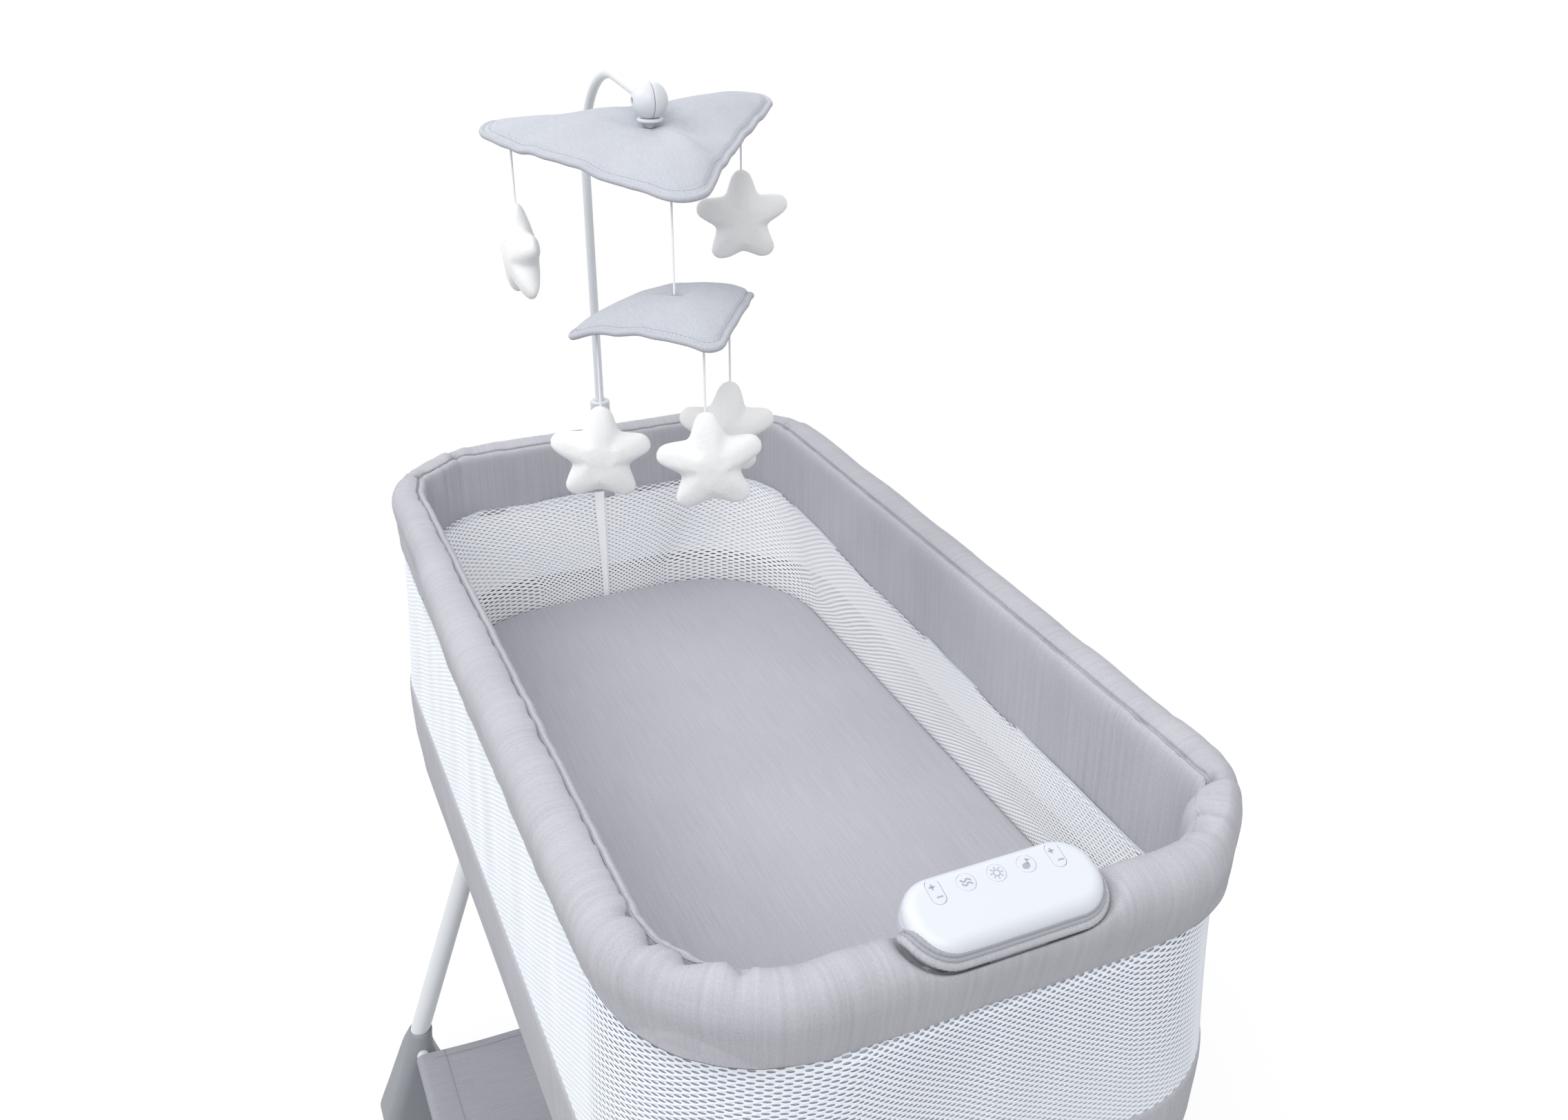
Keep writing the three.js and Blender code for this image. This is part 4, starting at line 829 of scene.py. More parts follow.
class RollCloth:
    """The roll's cloth: stations round the basket by places along its section."""

    def __init__(self):
        self.share = np.arange(STATIONS) / STATIONS
        self.distance = self.share * Plan.AROUND
        outer = graded(OUTER_FACE, 76, 1)
        inner = graded(INNER_FACE, 46, 0)[1:]
        self.section = np.concatenate([outer, inner, smooth_line(BACK_FACE, 20)])
        self.seam = len(outer) - 1
        self.bottom = self.seam + len(inner)
        self.along = run_length(np.concatenate([self.section, self.section[:1]]))
        self.from_seam = self.along[:-1] - self.along[self.seam]
        place = np.arange(len(self.section))
        self.front = place <= self.bottom
        self.on_roll = place <= self.seam
        self.on_band = (place > self.seam) & self.front
        self.outer_edge = bell(self.along[:-1] - self.along[0], 0.014) * self.on_roll
        self.corner = corner_weight(self.share)
        self.tight = pulled_in(self.share)
        self.sewn = stitched(self.share)[:, None]

    def wave(self, scale, seed):
        return ripple_line(self.distance, scale, seed)[:, None]

    def gap(self, place):
        return share_gap(self.share, place)[:, None]

    def plain(self):
        """The section at each station, with a round inner side where no stitched line shows."""
        turned = self.section.copy()
        turned[self.seam + 1:self.bottom + 1] = graded(ROUND_FACE, 46, 0)[1:]
        return (self.sewn * self.section[:, k] + (1 - self.sewn) * turned[:, k] for k in range(2))

    def draw_in(self, out, up):
        """Draws the roll in round the outside of its corners, and flattens it at the head end."""
        tight = self.tight[:, None]
        out -= np.clip(out / 0.018, 0, 1) * self.on_roll * tight
        lining = ~self.front & (self.section[:, 0] > 0.0098)
        out = np.where(lining, np.maximum(out - 0.3 * tight, 0.0097), out)
        lower_edge = np.clip(-up / 0.03, 0, 1) * self.on_roll
        drawn = np.maximum(out - lower_edge * (0.0015 * self.corner)[:, None], 0.0090)
        out = np.where(lower_edge > 0, drawn, out)
        crown = ramp(up, 0.012, 0.019) * (self.on_roll | self.on_band)
        up -= crown * (0.0080 * head_weight(self.share)**2 + 0.0012 * self.corner)[:, None]
        return out, up

    def hang(self, out, up):
        """Lets the roll's outer edge and the inner band hang, and draws the creases outwards."""
        up -= skirt_of_roll(self.share)[:, None] * ramp(-up, 0.004, 0.030) * self.on_roll
        hung = np.clip(self.from_seam / self.from_seam[self.bottom], 0, 1) ** 1.3 * self.on_band
        up -= band_drop(self.share)[:, None] * hung
        near_seam = bell(np.minimum(self.from_seam, 0), 0.010) * self.front * (1 - 0.7 * hung)
        return out + crease_push(self.share)[:, None] * near_seam, up

    def stuffing(self):
        """Slow unevenness of the filling."""
        fill = np.clip(1 - np.abs(self.from_seam + 0.045) / 0.06, 0, 1) * self.on_roll
        return (self.wave(8.0, 1) * 0.0022 + self.wave(21.0, 2) * 0.0016) * fill

    def gathers(self):
        """Puckers that run across the roll from the stitching and from its outer edge."""
        near_seam = bell(self.from_seam, 0.022) * self.on_roll
        near_seam = near_seam + 0.5 * bell(self.from_seam, 0.016) * self.on_band
        corner = self.corner[:, None]
        pucker = (self.wave(48.0, 3) + 0.5 * self.wave(105.0, 4)) * near_seam * (0.0017 + 0.0010 * corner)
        grooves = pinches(self.distance, 26.0, 9)[:, None]
        pucker += grooves * near_seam * (0.0027 + 0.0008 * corner)
        return pucker + self.wave(60.0, 5) * self.outer_edge * 0.0010

    def slack(self):
        """The inner band hangs a little loose."""
        loose = (self.wave(7.5, 6) + 0.5 * self.wave(17.0, 7)) * (1 - 0.5 * self.corner)[:, None]
        return loose * ramp(self.from_seam, 0, 0.07) * self.on_band * 0.0024

    def joins(self):
        """Joins across the roll and down the band at the corners, and one below the pod."""
        cuts = np.zeros((STATIONS, len(self.section)))
        far = np.clip(-self.from_seam / 0.075, 0, 1)
        fade = (0.25 + 0.75 * np.exp(-np.abs(self.from_seam) / 0.035)) * self.on_roll
        for name, start, end in ROLL_JOINS:
            turn = (end - start) * (corner_share(name, 1) - corner_share(name, 0)) * Plan.AROUND
            gap = self.gap(corner_share(name, start)) - turn * far
            cuts += (-0.0030 * bell(gap, 0.0026) + 0.0014 * bell(gap, 0.011)) * fade
        for name, part in BAND_JOINS:
            gap = self.gap(corner_share(name, part))
            cuts += (-0.0022 * bell(gap, 0.0024) + 0.0012 * bell(gap, 0.012)) * self.on_band
        below_pod = self.gap(foot_share(FOOT_SEAM_X)) + 0.40 * (self.from_seam + 0.062)
        return cuts - 0.0013 * bell(below_pod, 0.0016) * ramp(-self.from_seam, 0.040, 0.008) * self.on_roll

    def dimples(self):
        """Hollows beside the stitched line, each with a soft rise on either side."""
        hollows = [(corner_share(name, part), 1.0) for name, parts in DIMPLES.items() for part in parts]
        hollows += [(right_share(y), 0.7) for y in RAIL_DIMPLES]
        hollows += [(corner_share(name, part), size) for name, part, size in DEEP_DIMPLES]
        cuts = np.zeros((STATIONS, len(self.section)))
        at_seam = bell(self.from_seam + 0.003, 0.009) * self.front
        tail = np.exp(np.minimum(self.from_seam, 0) / 0.030) * self.on_roll
        rise = bell(self.from_seam + 0.014, 0.018) * self.on_roll
        for k, (place, size) in enumerate(hollows):
            gap = self.gap(place) + 0.22 * math.sin(k * 2.4) * self.from_seam
            cuts -= size * (0.0026 * bell(gap, 0.0050) * at_seam + 0.0020 * bell(gap, 0.0062) * tail)
            for step in (-0.012, 0.012):
                cuts += size * 0.0013 * bell(gap + step, 0.0075) * rise
        return cuts

    def outwards(self):
        """Directions square to the section, away from its middle."""
        tangent = np.gradient(self.section, axis=0)
        across = np.stack([tangent[:, 1], -tangent[:, 0]], 1)
        across /= np.maximum(np.linalg.norm(across, axis=1), 1e-9)[:, None]
        return across if across[self.seam // 3, 0] >= 0 else -across

    def shaped(self):
        """Distance outwards from the rim's line and height over it, for every point."""
        out, up = self.hang(*self.draw_in(*self.plain()))
        groove = -SEAM_DEPTH * bell(self.from_seam, 0.0013) * self.front * self.sewn
        shift = self.stuffing() + self.gathers() + groove + self.joins() + self.dimples() + self.slack()
        shift *= self.front
        # The cloth lies tight over the outermost side, so it has few hollows there.
        outermost = ramp(out, 0.004, 0.010) * self.on_roll * (self.tight / 0.0098)[:, None]
        shift = np.where(shift < 0, shift * (1 - 0.85 * outermost), shift)
        across = self.outwards()
        out += shift * across[:, 0]
        up += shift * across[:, 1]
        # The band's and the roll's lower edges wave up and down.
        band_edge = bell(self.from_seam - self.from_seam[self.bottom], 0.02) * self.front
        up += self.wave(11.0, 8) * 0.0024 * band_edge + self.wave(9.0, 18) * 0.0022 * self.outer_edge
        return out, up


def make_roll():
    cloth = RollCloth()
    out, up = cloth.shaped()
    centre, normal = RIM.at(cloth.share)
    points = np.empty((*out.shape, 3))
    points[:, :, :2] = centre[:, None] + normal[:, None] * out[:, :, None]
    points[:, :, 2] = RIM_Z + up
    points = hole_for_socket(pocket_for_pod(points, cloth.front))
    u = np.append(cloth.distance, Plan.AROUND)
    roll = grid_object("padded_roll", points, u, cloth.along, ROLL, wrap_u=True, wrap_v=True)
    settle(roll, COT, "grey_fabric", "rim_cover")


def off_pod(local):
    """Distance outside the pod's outline of points in the pod's frame."""
    return rounded_distance(local[..., 0], local[..., 1], POD_A, POD_B, POD_R)


def pocket_for_pod(points, front):
    """Presses the roll down to the pod's underside where the pod sits in it."""
    local = pod_space(points)
    off = off_pod(local)
    limit = -POD_DEPTH - 0.0006 + 2.2 * np.clip(off - 0.0010, 0, 0.03)
    eased = np.minimum(local, np.stack([local[..., 0], local[..., 1], limit], -1))
    near = (off < 0.016) & (off > -0.006) & front[None, :] & (local[..., 2] > -0.06)
    for _ in range(10):
        mean = sum(np.roll(eased, step, axis) for axis in (0, 1) for step in (1, -1)) / 4
        eased = np.where(near[..., None], 0.5 * eased + 0.5 * mean, eased)
        eased[..., 2] = np.minimum(eased[..., 2], limit)
    changed = near | (local[..., 2] > limit)
    return np.where(changed[..., None], from_pod(eased), points)


def hole_for_socket(points):
    """Draws the cloth back round the mobile's socket."""
    centre = middle("mobile_socket")
    sleeve = Vector((centre.x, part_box("mobile_socket")[0].y + SOCKET_RADIUS))
    dx, dy = points[..., 0] - sleeve.x, points[..., 1] - sleeve.y
    distance = np.maximum(np.hypot(dx, dy), 1e-6)
    wanted = np.maximum(distance, 0.0112 + 0.25 * np.maximum(distance - 0.006, 0))
    scale = np.where(distance < 0.014, wanted / distance, 1.0)
    drawn = points.copy()
    drawn[..., 0] = sleeve.x + dx * scale
    drawn[..., 1] = sleeve.y + dy * scale
    return drawn


def make_seam_thread():
    """The sewn line that shows in the roll's groove."""
    share = np.arange(900) / 900
    centre, normal = RIM.at(share)
    head = head_weight(share)
    path = np.column_stack([centre + normal * (SEAM_OUT + crease_push(share))[:, None],
                            RIM_Z + SEAM_UP - 0.0024 - 0.0060 * head**2 - 0.0009 * corner_weight(share)])
    local = pod_space(path)
    keep = (off_pod(local) > 0.003) & (stitched(share) > 0.5)
    start = int(np.argmax(~keep))
    order = np.roll(np.arange(900), -start)
    order = order[np.roll(keep, -start)]
    thread_line("roll_seam", path[order], 0.0007)


def make_pod_collar():
    """Three rolls of piping round the outer side of the pod's pocket."""
    # Name, distance out from the pod's outline, level in its frame, radius and cloth; the upper two take the
    # darker piping cloth, painted shade under the pod's shell.
    rolls = (("upper", -0.0010, -0.0100, 0.0019, PIPING_PAINTED_SHADE), ("middle", 0.0010, -0.0124, 0.0019, PIPING_PAINTED_SHADE),
             ("lower", 0.0028, -0.0162, 0.0033, ROLL))
    for name, grow, level, radius, material in rolls:
        line = pod_ring(grow, 480)
        turn = np.arctan2(line[:, 1] - 0.010, line[:, 0] / 2.0)
        order = np.argsort(turn)
        turn = turn[order]
        line = line[order][(turn > math.radians(-168)) & (turn < math.radians(4))]
        share = np.linspace(0, 1, len(line))
        sink = level + 0.0050 * bell(share - 0.07, 0.12)
        sink -= 0.0070 * bell(share, 0.035) + 0.0030 * bell(share - 1, 0.06)
        wobble = 0.0004 * ripple(np.column_stack([line, sink]), 70.0, 12)
        path = from_pod(np.column_stack([line, sink + wobble]))
        thick = radius * (1 - 0.35 * (bell(share, 0.02) + bell(share - 1, 0.03)))
        count = 150
        steps = np.linspace(0, 1, count)
        thick = np.interp(steps, share, thick) + 0.00022 * np.sin(steps * 2 * math.pi * 58)
        pipe = sweep(f"pod_piping_{name}", smooth_line(path, count), thick, material, sides=18)
        settle(pipe, COT, "grey_fabric")


def rounded_ring(a, b, r, count):
    """An even anticlockwise ring of points (count, 2) on a rounded rectangle."""
    corner = np.radians(np.linspace(0, 90, 24))
    parts = []
    for sx, sy, start in ((1, 1, 0), (-1, 1, 90), (-1, -1, 180), (1, -1, 270)):
        angle = corner + math.radians(start)
        parts.append(np.stack([sx * (a - r) + r * np.cos(angle), sy * (b - r) + r * np.sin(angle)], 1))
    line = np.concatenate(parts + [parts[0][:1]])
    along = run_length(line)
    return resampled(line, np.linspace(0, along[-1], count, endpoint=False), along)


def pod_ring(grow, count):
    """The pod's outline, grown by this much."""
    return rounded_ring(POD_A + grow, POD_B + grow, POD_R + grow, count)


make_roll()
make_seam_thread()
make_pod_collar()

# ------------------------------------------------------------------ open mesh walls
NET_PITCH = 0.0092  # width of a cell
NET_ROW = 0.0026  # height from one row of cells to the next
NET_DEPTH = 0.0005


def net_cells(columns, rows):
    """A mesh of six-sided cells: its knots as (share, v), each cell's six knots, its row and its middle."""
    width = 2 * columns
    half = np.arange(width)
    lines = np.arange(rows + 1)
    zig = np.where((half[None, :] + lines[:, None]) % 2 == 0, 1.0, -1.0) / 6
    zig[0] = np.where(half % 2 == 1, -0.55, 0.25)
    zig[-1] = 0
    share = np.broadcast_to(half / width, zig.shape)
    knots = np.stack([share, (lines[:, None] + zig) / rows], -1).reshape(-1, 2)
    row, column = (x.ravel() for x in np.meshgrid(np.arange(rows), np.arange(columns), indexing="ij"))
    centre = (2 * column + row % 2 + 1) % width
    left, right = (centre - 1) % width, (centre + 1) % width
    upper, lower = row * width, (row + 1) * width
    ring = np.stack([upper + left, upper + centre, upper + right,
                     lower + right, lower + centre, lower + left], 1)
    return knots, ring, row, centre / width


def net_pieces(names, surface, around, height, hole, material, lean=1):
    """A knitted mesh round the basket, shared out to the named pieces.

    surface(share, v) gives points and outward directions, v from 0 at the top to 1; hole(share,
    row) gives the width and the height of a cell's opening as shares of the cell. The yarn
    stands proud at the cells' edges and goes in by NET_DEPTH to each opening."""
    rows = int(round(height / NET_ROW))
    knots, ring, row, middle_share = net_cells(int(round(around / NET_PITCH)), rows)
    corner_uv = knots[ring].copy()
    gap = (corner_uv[..., 0] - middle_share[:, None] + 0.5) % 1.0 - 0.5
    corner_uv[..., 0] = middle_share[:, None] + gap
    centre_uv = np.stack([middle_share, (row + 0.5) / rows], 1)
    opening = np.stack(hole(middle_share, row), 1)[:, None]
    inner_uv = centre_uv[:, None] + (corner_uv - centre_uv[:, None]) * opening
    points, _ = surface(knots[:, 0], knots[:, 1])
    holes, outward = surface(inner_uv[..., 0].ravel(), inner_uv[..., 1].ravel())
    holes[:, :2] -= outward * NET_DEPTH * lean
    everything = np.concatenate([points, holes])
    inner_ring = len(points) + np.arange(len(ring) * 6).reshape(-1, 6)
    sides = [(side, (side + 1) % 6) for side in range(6)]

    def strips(outer, inner, mine):
        return np.concatenate([np.stack([outer[mine, a], inner[mine, a], inner[mine, b], outer[mine, b]], 1)
                               for a, b in sides])

    pieces = []
    for k, name in enumerate(names):
        mine = (middle_share * len(names)).astype(int) == k
        faces = strips(ring, inner_ring, mine)
        uv = strips(corner_uv, inner_uv, mine) * [around, height]
        used, renumbered = np.unique(faces, return_inverse=True)
        pieces.append(faces_object(name, everything[used], renumbered.reshape(faces.shape), uv, material))
    return pieces


def openings(coarse_rows, wide, tall, seed):
    """Shares of a cell left open: the first of each pair in the upper rows, the second below them."""
    def hole(share, row):
        loose = 0.04 * ripple_line(share * Plan.AROUND, 9.0, seed)
        return np.where(row < coarse_rows, *wide) + loose, np.where(row < coarse_rows, *tall) + loose

    return hole


def stack(levels):
    """A surface through several (plan, z) rings, v measured by height."""
    heights = np.array([z for _, z in levels])
    shares = (heights[0] - heights) / (heights[0] - heights[-1])

    def surface(share, v):
        rings = np.stack([plan.at(share)[0] for plan, _ in levels])
        k = np.clip(np.searchsorted(shares, v, side="right") - 1, 0, len(levels) - 2)
        part = (v - shares[k]) / (shares[k + 1] - shares[k])
        pick = np.arange(len(v))
        flat = rings[k, pick] + (rings[k + 1, pick] - rings[k, pick]) * part[:, None]
        return np.column_stack([flat, heights[0] + (heights[-1] - heights[0]) * v])

    return surface


def net_back(name, surface, height, behind, material, end=lambda share: np.ones(len(share))):
    """The knit's closed far face, this far behind its open one, down to this share of its height. On the
    outer net this face is grey: painted shade for the gap seen through the openings.
    """
    share = np.arange(420) / 420
    levels = np.linspace(0.020, 1.0, 40)
    rings = []
    for level in levels:
        down = level * end(share)
        ring, normal = surface(share, down)
        ring[:, :2] -= normal * (behind * (1 - 0.7 * down))[:, None]
        rings.append(ring)
    along = np.arange(421) / 420 * Plan.AROUND
    sheet = grid_object(name, np.array(rings), levels * height, along, material, wrap_v=True)
    settle(sheet, COT, "mesh_fabric")


INNER_LOW, INNER_TOP = (corner.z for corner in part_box("inner_mesh"))
PANEL_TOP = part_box("floor_panel")[1].z
INNER_BAND = RIM.grow(-0.0248)
INNER_WALL = Plan(reach("inner_mesh").x - 0.0008, reach("fitted_sheet").y + 0.0014, SHEET_R + 0.001)
HEAD_SEAM_X = 0.001  # the net's own join, at the head end
LINING_LOW = 0.597
inner_surface = stack([(INNER_BAND, INNER_TOP), (INNER_BAND.grow(0.0008), INNER_TOP - 0.010),
                       (INNER_WALL, PANEL_TOP + 0.002), (INNER_WALL, INNER_LOW)])


def inner_net(share, v):
    """Points of the inner net with their outward directions."""
    points = inner_surface(share, v)
    points[:, 2] -= band_drop(share) * (1 - v)
    distance = share * Plan.AROUND
    wave = ripple_line(distance, 13.0, 21) + 0.5 * ripple_line(distance, 36.0, 22)
    _, normal = RIM.at(share)
    belly = np.sin(np.pi * np.clip(v * 1.12, 0, 1))
    fold = bell(v, 0.09)
    points[:, 2] += 0.0045 * wave * fold
    points[:, :2] -= normal * (belly * (0.0012 + 0.0014 * wave) + fold * 0.0012 * (1 + wave))[:, None]
    return points, normal


def lining_end(share):
    """Share of the inner net's height at which its closed face ends. Below it the openings show the outer
    net's grey back, which is painted shade.
    """
    x, y = RIM.at(share)[0].T
    beside = ramp(x, 0.10, 0.09) * ramp(-y, -0.42, 0.14)
    low = LINING_LOW + 0.030 * beside + 0.0012 * ripple_line(share * Plan.AROUND, 17.0, 24)
    return (INNER_TOP - low) / (INNER_TOP - INNER_LOW)


def make_inner_mesh():
    height = INNER_TOP - INNER_LOW
    net_back("inner_net_back", inner_net, height, -0.0030, NET_LINING, lining_end)
    names = ("inner_net_left", "inner_net_right")
    hole = openings(3, (0.58, 0.41), (0.80, 0.54), 23)
    left, right = net_pieces(names, inner_net, INNER_AROUND, height, hole, NET, lean=-1)
    settle(left, COT, "mesh_fabric", "inner_mesh")
    settle(right, COT, "mesh_fabric")


def make_net_join():
    """The tape over the inner net's own join."""
    v = np.linspace(0.0, 0.99, 60)
    tape = []
    for offset, rise in ((-0.0060, 0.0002), (-0.0056, 0.0012), (0.0050, 0.0012), (0.0056, 0.0012)):
        share = np.full(len(v), (-(HEAD_SEAM_X + offset) / Plan.AROUND) % 1.0)
        line, normal = inner_net(share, v)
        line[:, :2] -= normal * rise
        tape.append(line)
    points = np.array(tape)
    seam = grid_object("net_join", points, [0, 0.0005, 0.011, 0.0115], run_length(points[0]), NET)
    settle(seam, COT, "mesh_fabric")


OUTER_TOP = RIM_Z - 0.0295
OUTER_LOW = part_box("outer_mesh")[0].z
SKIRT_LOW, SKIRT_TOP = (corner.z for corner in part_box("lower_band"))
OUTER_BAND = RIM.grow(0.0108, 0.025)
LOWER = Plan(LOWER_A, LOWER_B, LOWER_R)
UNDER_SKIRT = LOWER.grow(RIM_RADIUS + 0.0010)
outer_surface = stack([(OUTER_BAND.grow(-0.0036), OUTER_TOP), (OUTER_BAND.grow(-0.0022), OUTER_TOP - 0.009),
                       (OUTER_BAND.grow(-0.0006), OUTER_TOP - 0.016), (UNDER_SKIRT, SKIRT_TOP),
                       (UNDER_SKIRT.grow(-0.0012), SKIRT_TOP - 0.006),
                       (Plan(LOWER_A + 0.0054, LOWER_B + 0.0054, 0.124), OUTER_LOW)])


def outer_net(share, v):
    """Points of the outer net with their outward directions."""
    points = outer_surface(share, v)
    distance = share * Plan.AROUND
    wave = ripple_line(distance, 9.0, 31) + 0.7 * ripple_line(distance, 24.0, 32)
    _, normal = RIM.at(share)
    down = v / ((OUTER_TOP - SKIRT_TOP) / (OUTER_TOP - OUTER_LOW))
    sway = np.sin(np.pi * np.clip(down, 0, 1))
    points[:, :2] += normal * (sway * (0.0024 * wave - 0.0012))[:, None]
    points[:, 2] += 0.0016 * ripple_line(distance, 14.0, 8) * bell(v, 0.06)
    points[:, 2] -= skirt_of_roll(share) * np.clip(1 - down, 0, 1)
    return points, normal


def make_outer_mesh():
    height = OUTER_TOP - OUTER_LOW
    # The closed back behind the outer net is grey: painted shade for the gap between the two nets.
    net_back("outer_net_back_painted_shade", outer_net, height, 0.0018, NET_BACK_PAINTED_SHADE)
    names = ("outer_net_head_left", "outer_net_foot_left", "outer_net_foot_right", "outer_net_head_right")
    hole = openings(4, (0.57, 0.47), (0.84, 0.62), 33)
    # The outer net's yarn is darkened as painted shade.
    nets = net_pieces(names, outer_net, Plan.AROUND, height, hole, OUTER_NET_PAINTED_SHADE)
    settle(nets[0], COT, "mesh_fabric", "outer_mesh")
    for net in nets[1:]:
        settle(net, COT, "mesh_fabric")


make_inner_mesh()
make_net_join()
make_outer_mesh()


# ------------------------------------------------------------------ lower band, cloth floor
SKIRT = LOWER.grow(RIM_RADIUS + 0.0027)
# How far each row of the band stands out from SKIRT, and its height.
SKIRT_ROWS = ((-0.0016, SKIRT_TOP), (-0.0004, SKIRT_TOP - 0.0008), (0.0006, SKIRT_TOP - 0.012),
              (0.0008, LOWER_Z - 0.006), (0.0001, LOWER_Z - 0.040), (-0.0024, SKIRT_LOW + 0.030),
              (-0.0040, SKIRT_LOW + 0.0085), (-0.0046, SKIRT_LOW + 0.0072), (-0.0042, SKIRT_LOW + 0.0058),
              (-0.0044, SKIRT_LOW + 0.0012), (-0.0052, SKIRT_LOW))


def make_lower_band():
    share = np.arange(420) / 420
    distance = share * Plan.AROUND
    surface = stack([(SKIRT.grow(grow), z) for grow, z in SKIRT_ROWS])
    v = np.linspace(0, 1, (len(SKIRT_ROWS) - 1) * 4 + 1)
    outside = np.stack([surface(share, np.full(len(share), row)) for row in v], 1)
    _, normal = RIM.at(share)
    slow = ripple_line(distance, 7.0, 41) + 0.5 * ripple_line(distance, 19.0, 42)
    swell = slow[:, None] * np.sin(np.pi * v * 0.9 + 0.2) * 0.0013
    outside[:, :, :2] += normal[:, None] * swell[:, :, None]
    inside = outside[:, ::-1].copy()
    inside[:, :, :2] -= normal[:, None] * 0.0022
    points = np.concatenate([outside, inside], 1)
    along = run_length(np.concatenate([points[0], points[0][:1]]))
    u = np.append(distance, Plan.AROUND)
    band = grid_object("lower_skirt", points, u, along, ROLL, wrap_u=True, wrap_v=True)
    settle(band, COT, "grey_fabric", "lower_band")
    hem = SKIRT.grow(-0.0044).ring(np.arange(700) / 700, SKIRT_LOW + 0.0072)
    thread_line("skirt_stitch_hem", hem, closed=True)


def make_floor_panel():
    """A shallow cloth tray, from its underside up the wall and down the wall's inner face."""
    low, high = (corner.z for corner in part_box("floor_panel"))
    outer = Plan(reach("floor_panel").x, reach("floor_panel").y, SHEET_R + 0.0035)
    edge = high - 0.001
    rows = ((-0.006, low), (-0.0012, low + 0.0015), (0, low + 0.006), (0, edge - 0.001), (-0.0009, edge),
            (-0.0018, edge - 0.001), (-0.0018, low + 0.0030), (-0.006, low + 0.0018))
    share = np.arange(300) / 300
    panel = loft_object("cloth_floor", [outer.grow(grow).ring(share, z) for grow, z in rows], SLING)
    settle(panel, COT, "grey_fabric", "floor_panel")


make_lower_band()
make_floor_panel()


# ------------------------------------------------------------------ mattress and fitted sheet
def rounded_edge(plan, radius, level, degrees):
    """Rings (plan, z) round an edge of this radius whose centre is at this level."""
    return [(plan.grow(radius * (math.cos(a) - 1)), level + radius * math.sin(a))
            for a in np.radians(degrees)]


def crowned_pad(name, rings, high, crown, material, wave=0.0):
    """A pad through these rings, closed over by a slightly domed top."""
    share = np.arange(260) / 260
    loops = [plan.ring(share, z) for plan, z in rings]
    edge = loops[-1]
    for scale in (0.93, 0.84, 0.72, 0.58, 0.44, 0.3, 0.17, 0.06):
        loop = edge * [scale, scale, 1]
        loop[:, 2] = high + crown * (1 - scale**2)
        loops.append(loop)
    loops = np.array(loops)
    lift = ripple(loops, 9.0, 51) * 0.6 + ripple(loops, 22.0, 52) * 0.4
    top = np.arange(len(loops)) >= len(rings) - 2
    loops[..., 2] += lift * wave * top[:, None]
    return loft_object(name, loops, material)


def make_mattress():
    low, high = (corner.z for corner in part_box("mattress"))
    top = high - 0.0012
    plan = Plan(reach("mattress").x - 0.0002, reach("mattress").y - 0.0002, 0.140)
    rings = rounded_edge(plan, 0.006, low + 0.006, np.linspace(-90, 0, 4))
    rings += rounded_edge(plan, 0.008, top - 0.008, np.linspace(0, 90, 7))
    pad = crowned_pad("foam_pad", rings, top, 0.0008, FOAM)
    planar_uv(pad)
    settle(pad, COT, "foam", "mattress")


def make_sheet():
    low, high = (corner.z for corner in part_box("fitted_sheet"))
    plan = Plan(SHEET_A, SHEET_B, SHEET_R)
    rings = [(plan, low)] + rounded_edge(plan, 0.009, high - 0.009, np.linspace(0, 90, 7))
    sheet = crowned_pad("fitted_cover", rings, high, 0.0012, SHEET, wave=0.0007)
    open_underside(sheet)
    planar_uv(sheet)
    settle(sheet, COT, "sheet_fabric", "fitted_sheet")


def open_underside(made):
    """Takes away the bottom face, as a fitted sheet has none."""
    with edited(made.data) as shape:
        below = [face for face in shape.faces if face.normal.z < -0.9]
        bmesh.ops.delete(shape, geom=below, context="FACES")


def planar_uv(made):
    """UVs in metres straight from x and y."""
    mesh = made.data
    points = np.empty(len(mesh.vertices) * 3, np.float32)
    mesh.vertices.foreach_get("co", points)
    index = np.empty(len(mesh.loops), np.int32)
    mesh.loops.foreach_get("vertex_index", index)
    mesh.uv_layers[0].data.foreach_set("uv", points.reshape(-1, 3)[index][:, :2].ravel())


make_mattress()
make_sheet()

# ------------------------------------------------------------------ stand
LEG_RADIUS = 0.011
LEG_SPLAY = 0.3566  # how far a leg goes out for each metre down
CUP_Z = 0.127  # top of the feet's cups
CUP_SPREAD = 0.3104  # from the middle to a leg's axis at that height
RAIL_RADIUS = reach("shelf_rail_left").z
RAIL_Z = middle("shelf_rail_left").z
# The foot in section: height, outer and inner face from the leg's axis, half depth, corner radius.
FOOT_SECTIONS = [
    (0.0000, 0.0113, -0.0900, 0.0280, 0.0100), (0.0012, 0.0135, -0.0915, 0.0300, 0.0115),
    (0.0050, 0.0154, -0.0920, 0.0316, 0.0130), (0.0180, 0.0155, -0.0800, 0.0308, 0.0140),
    (0.0450, 0.0150, -0.0580, 0.0280, 0.0140), (0.0750, 0.0146, -0.0370, 0.0250, 0.0140),
    (0.1040, 0.0142, -0.0200, 0.0218, 0.0140), (0.1180, 0.0138, -0.0152, 0.0170, 0.0135),
    (0.1245, 0.0136, -0.0141, 0.0146, 0.0135), (0.1266, 0.0129, -0.0134, 0.0136, 0.0128),
    (0.1270, 0.0120, -0.0126, 0.0128, 0.0120),
]


def leg_x(z):
    """Distance of a leg's axis from the middle at height z."""
    return CUP_SPREAD + LEG_SPLAY * (CUP_Z - z)


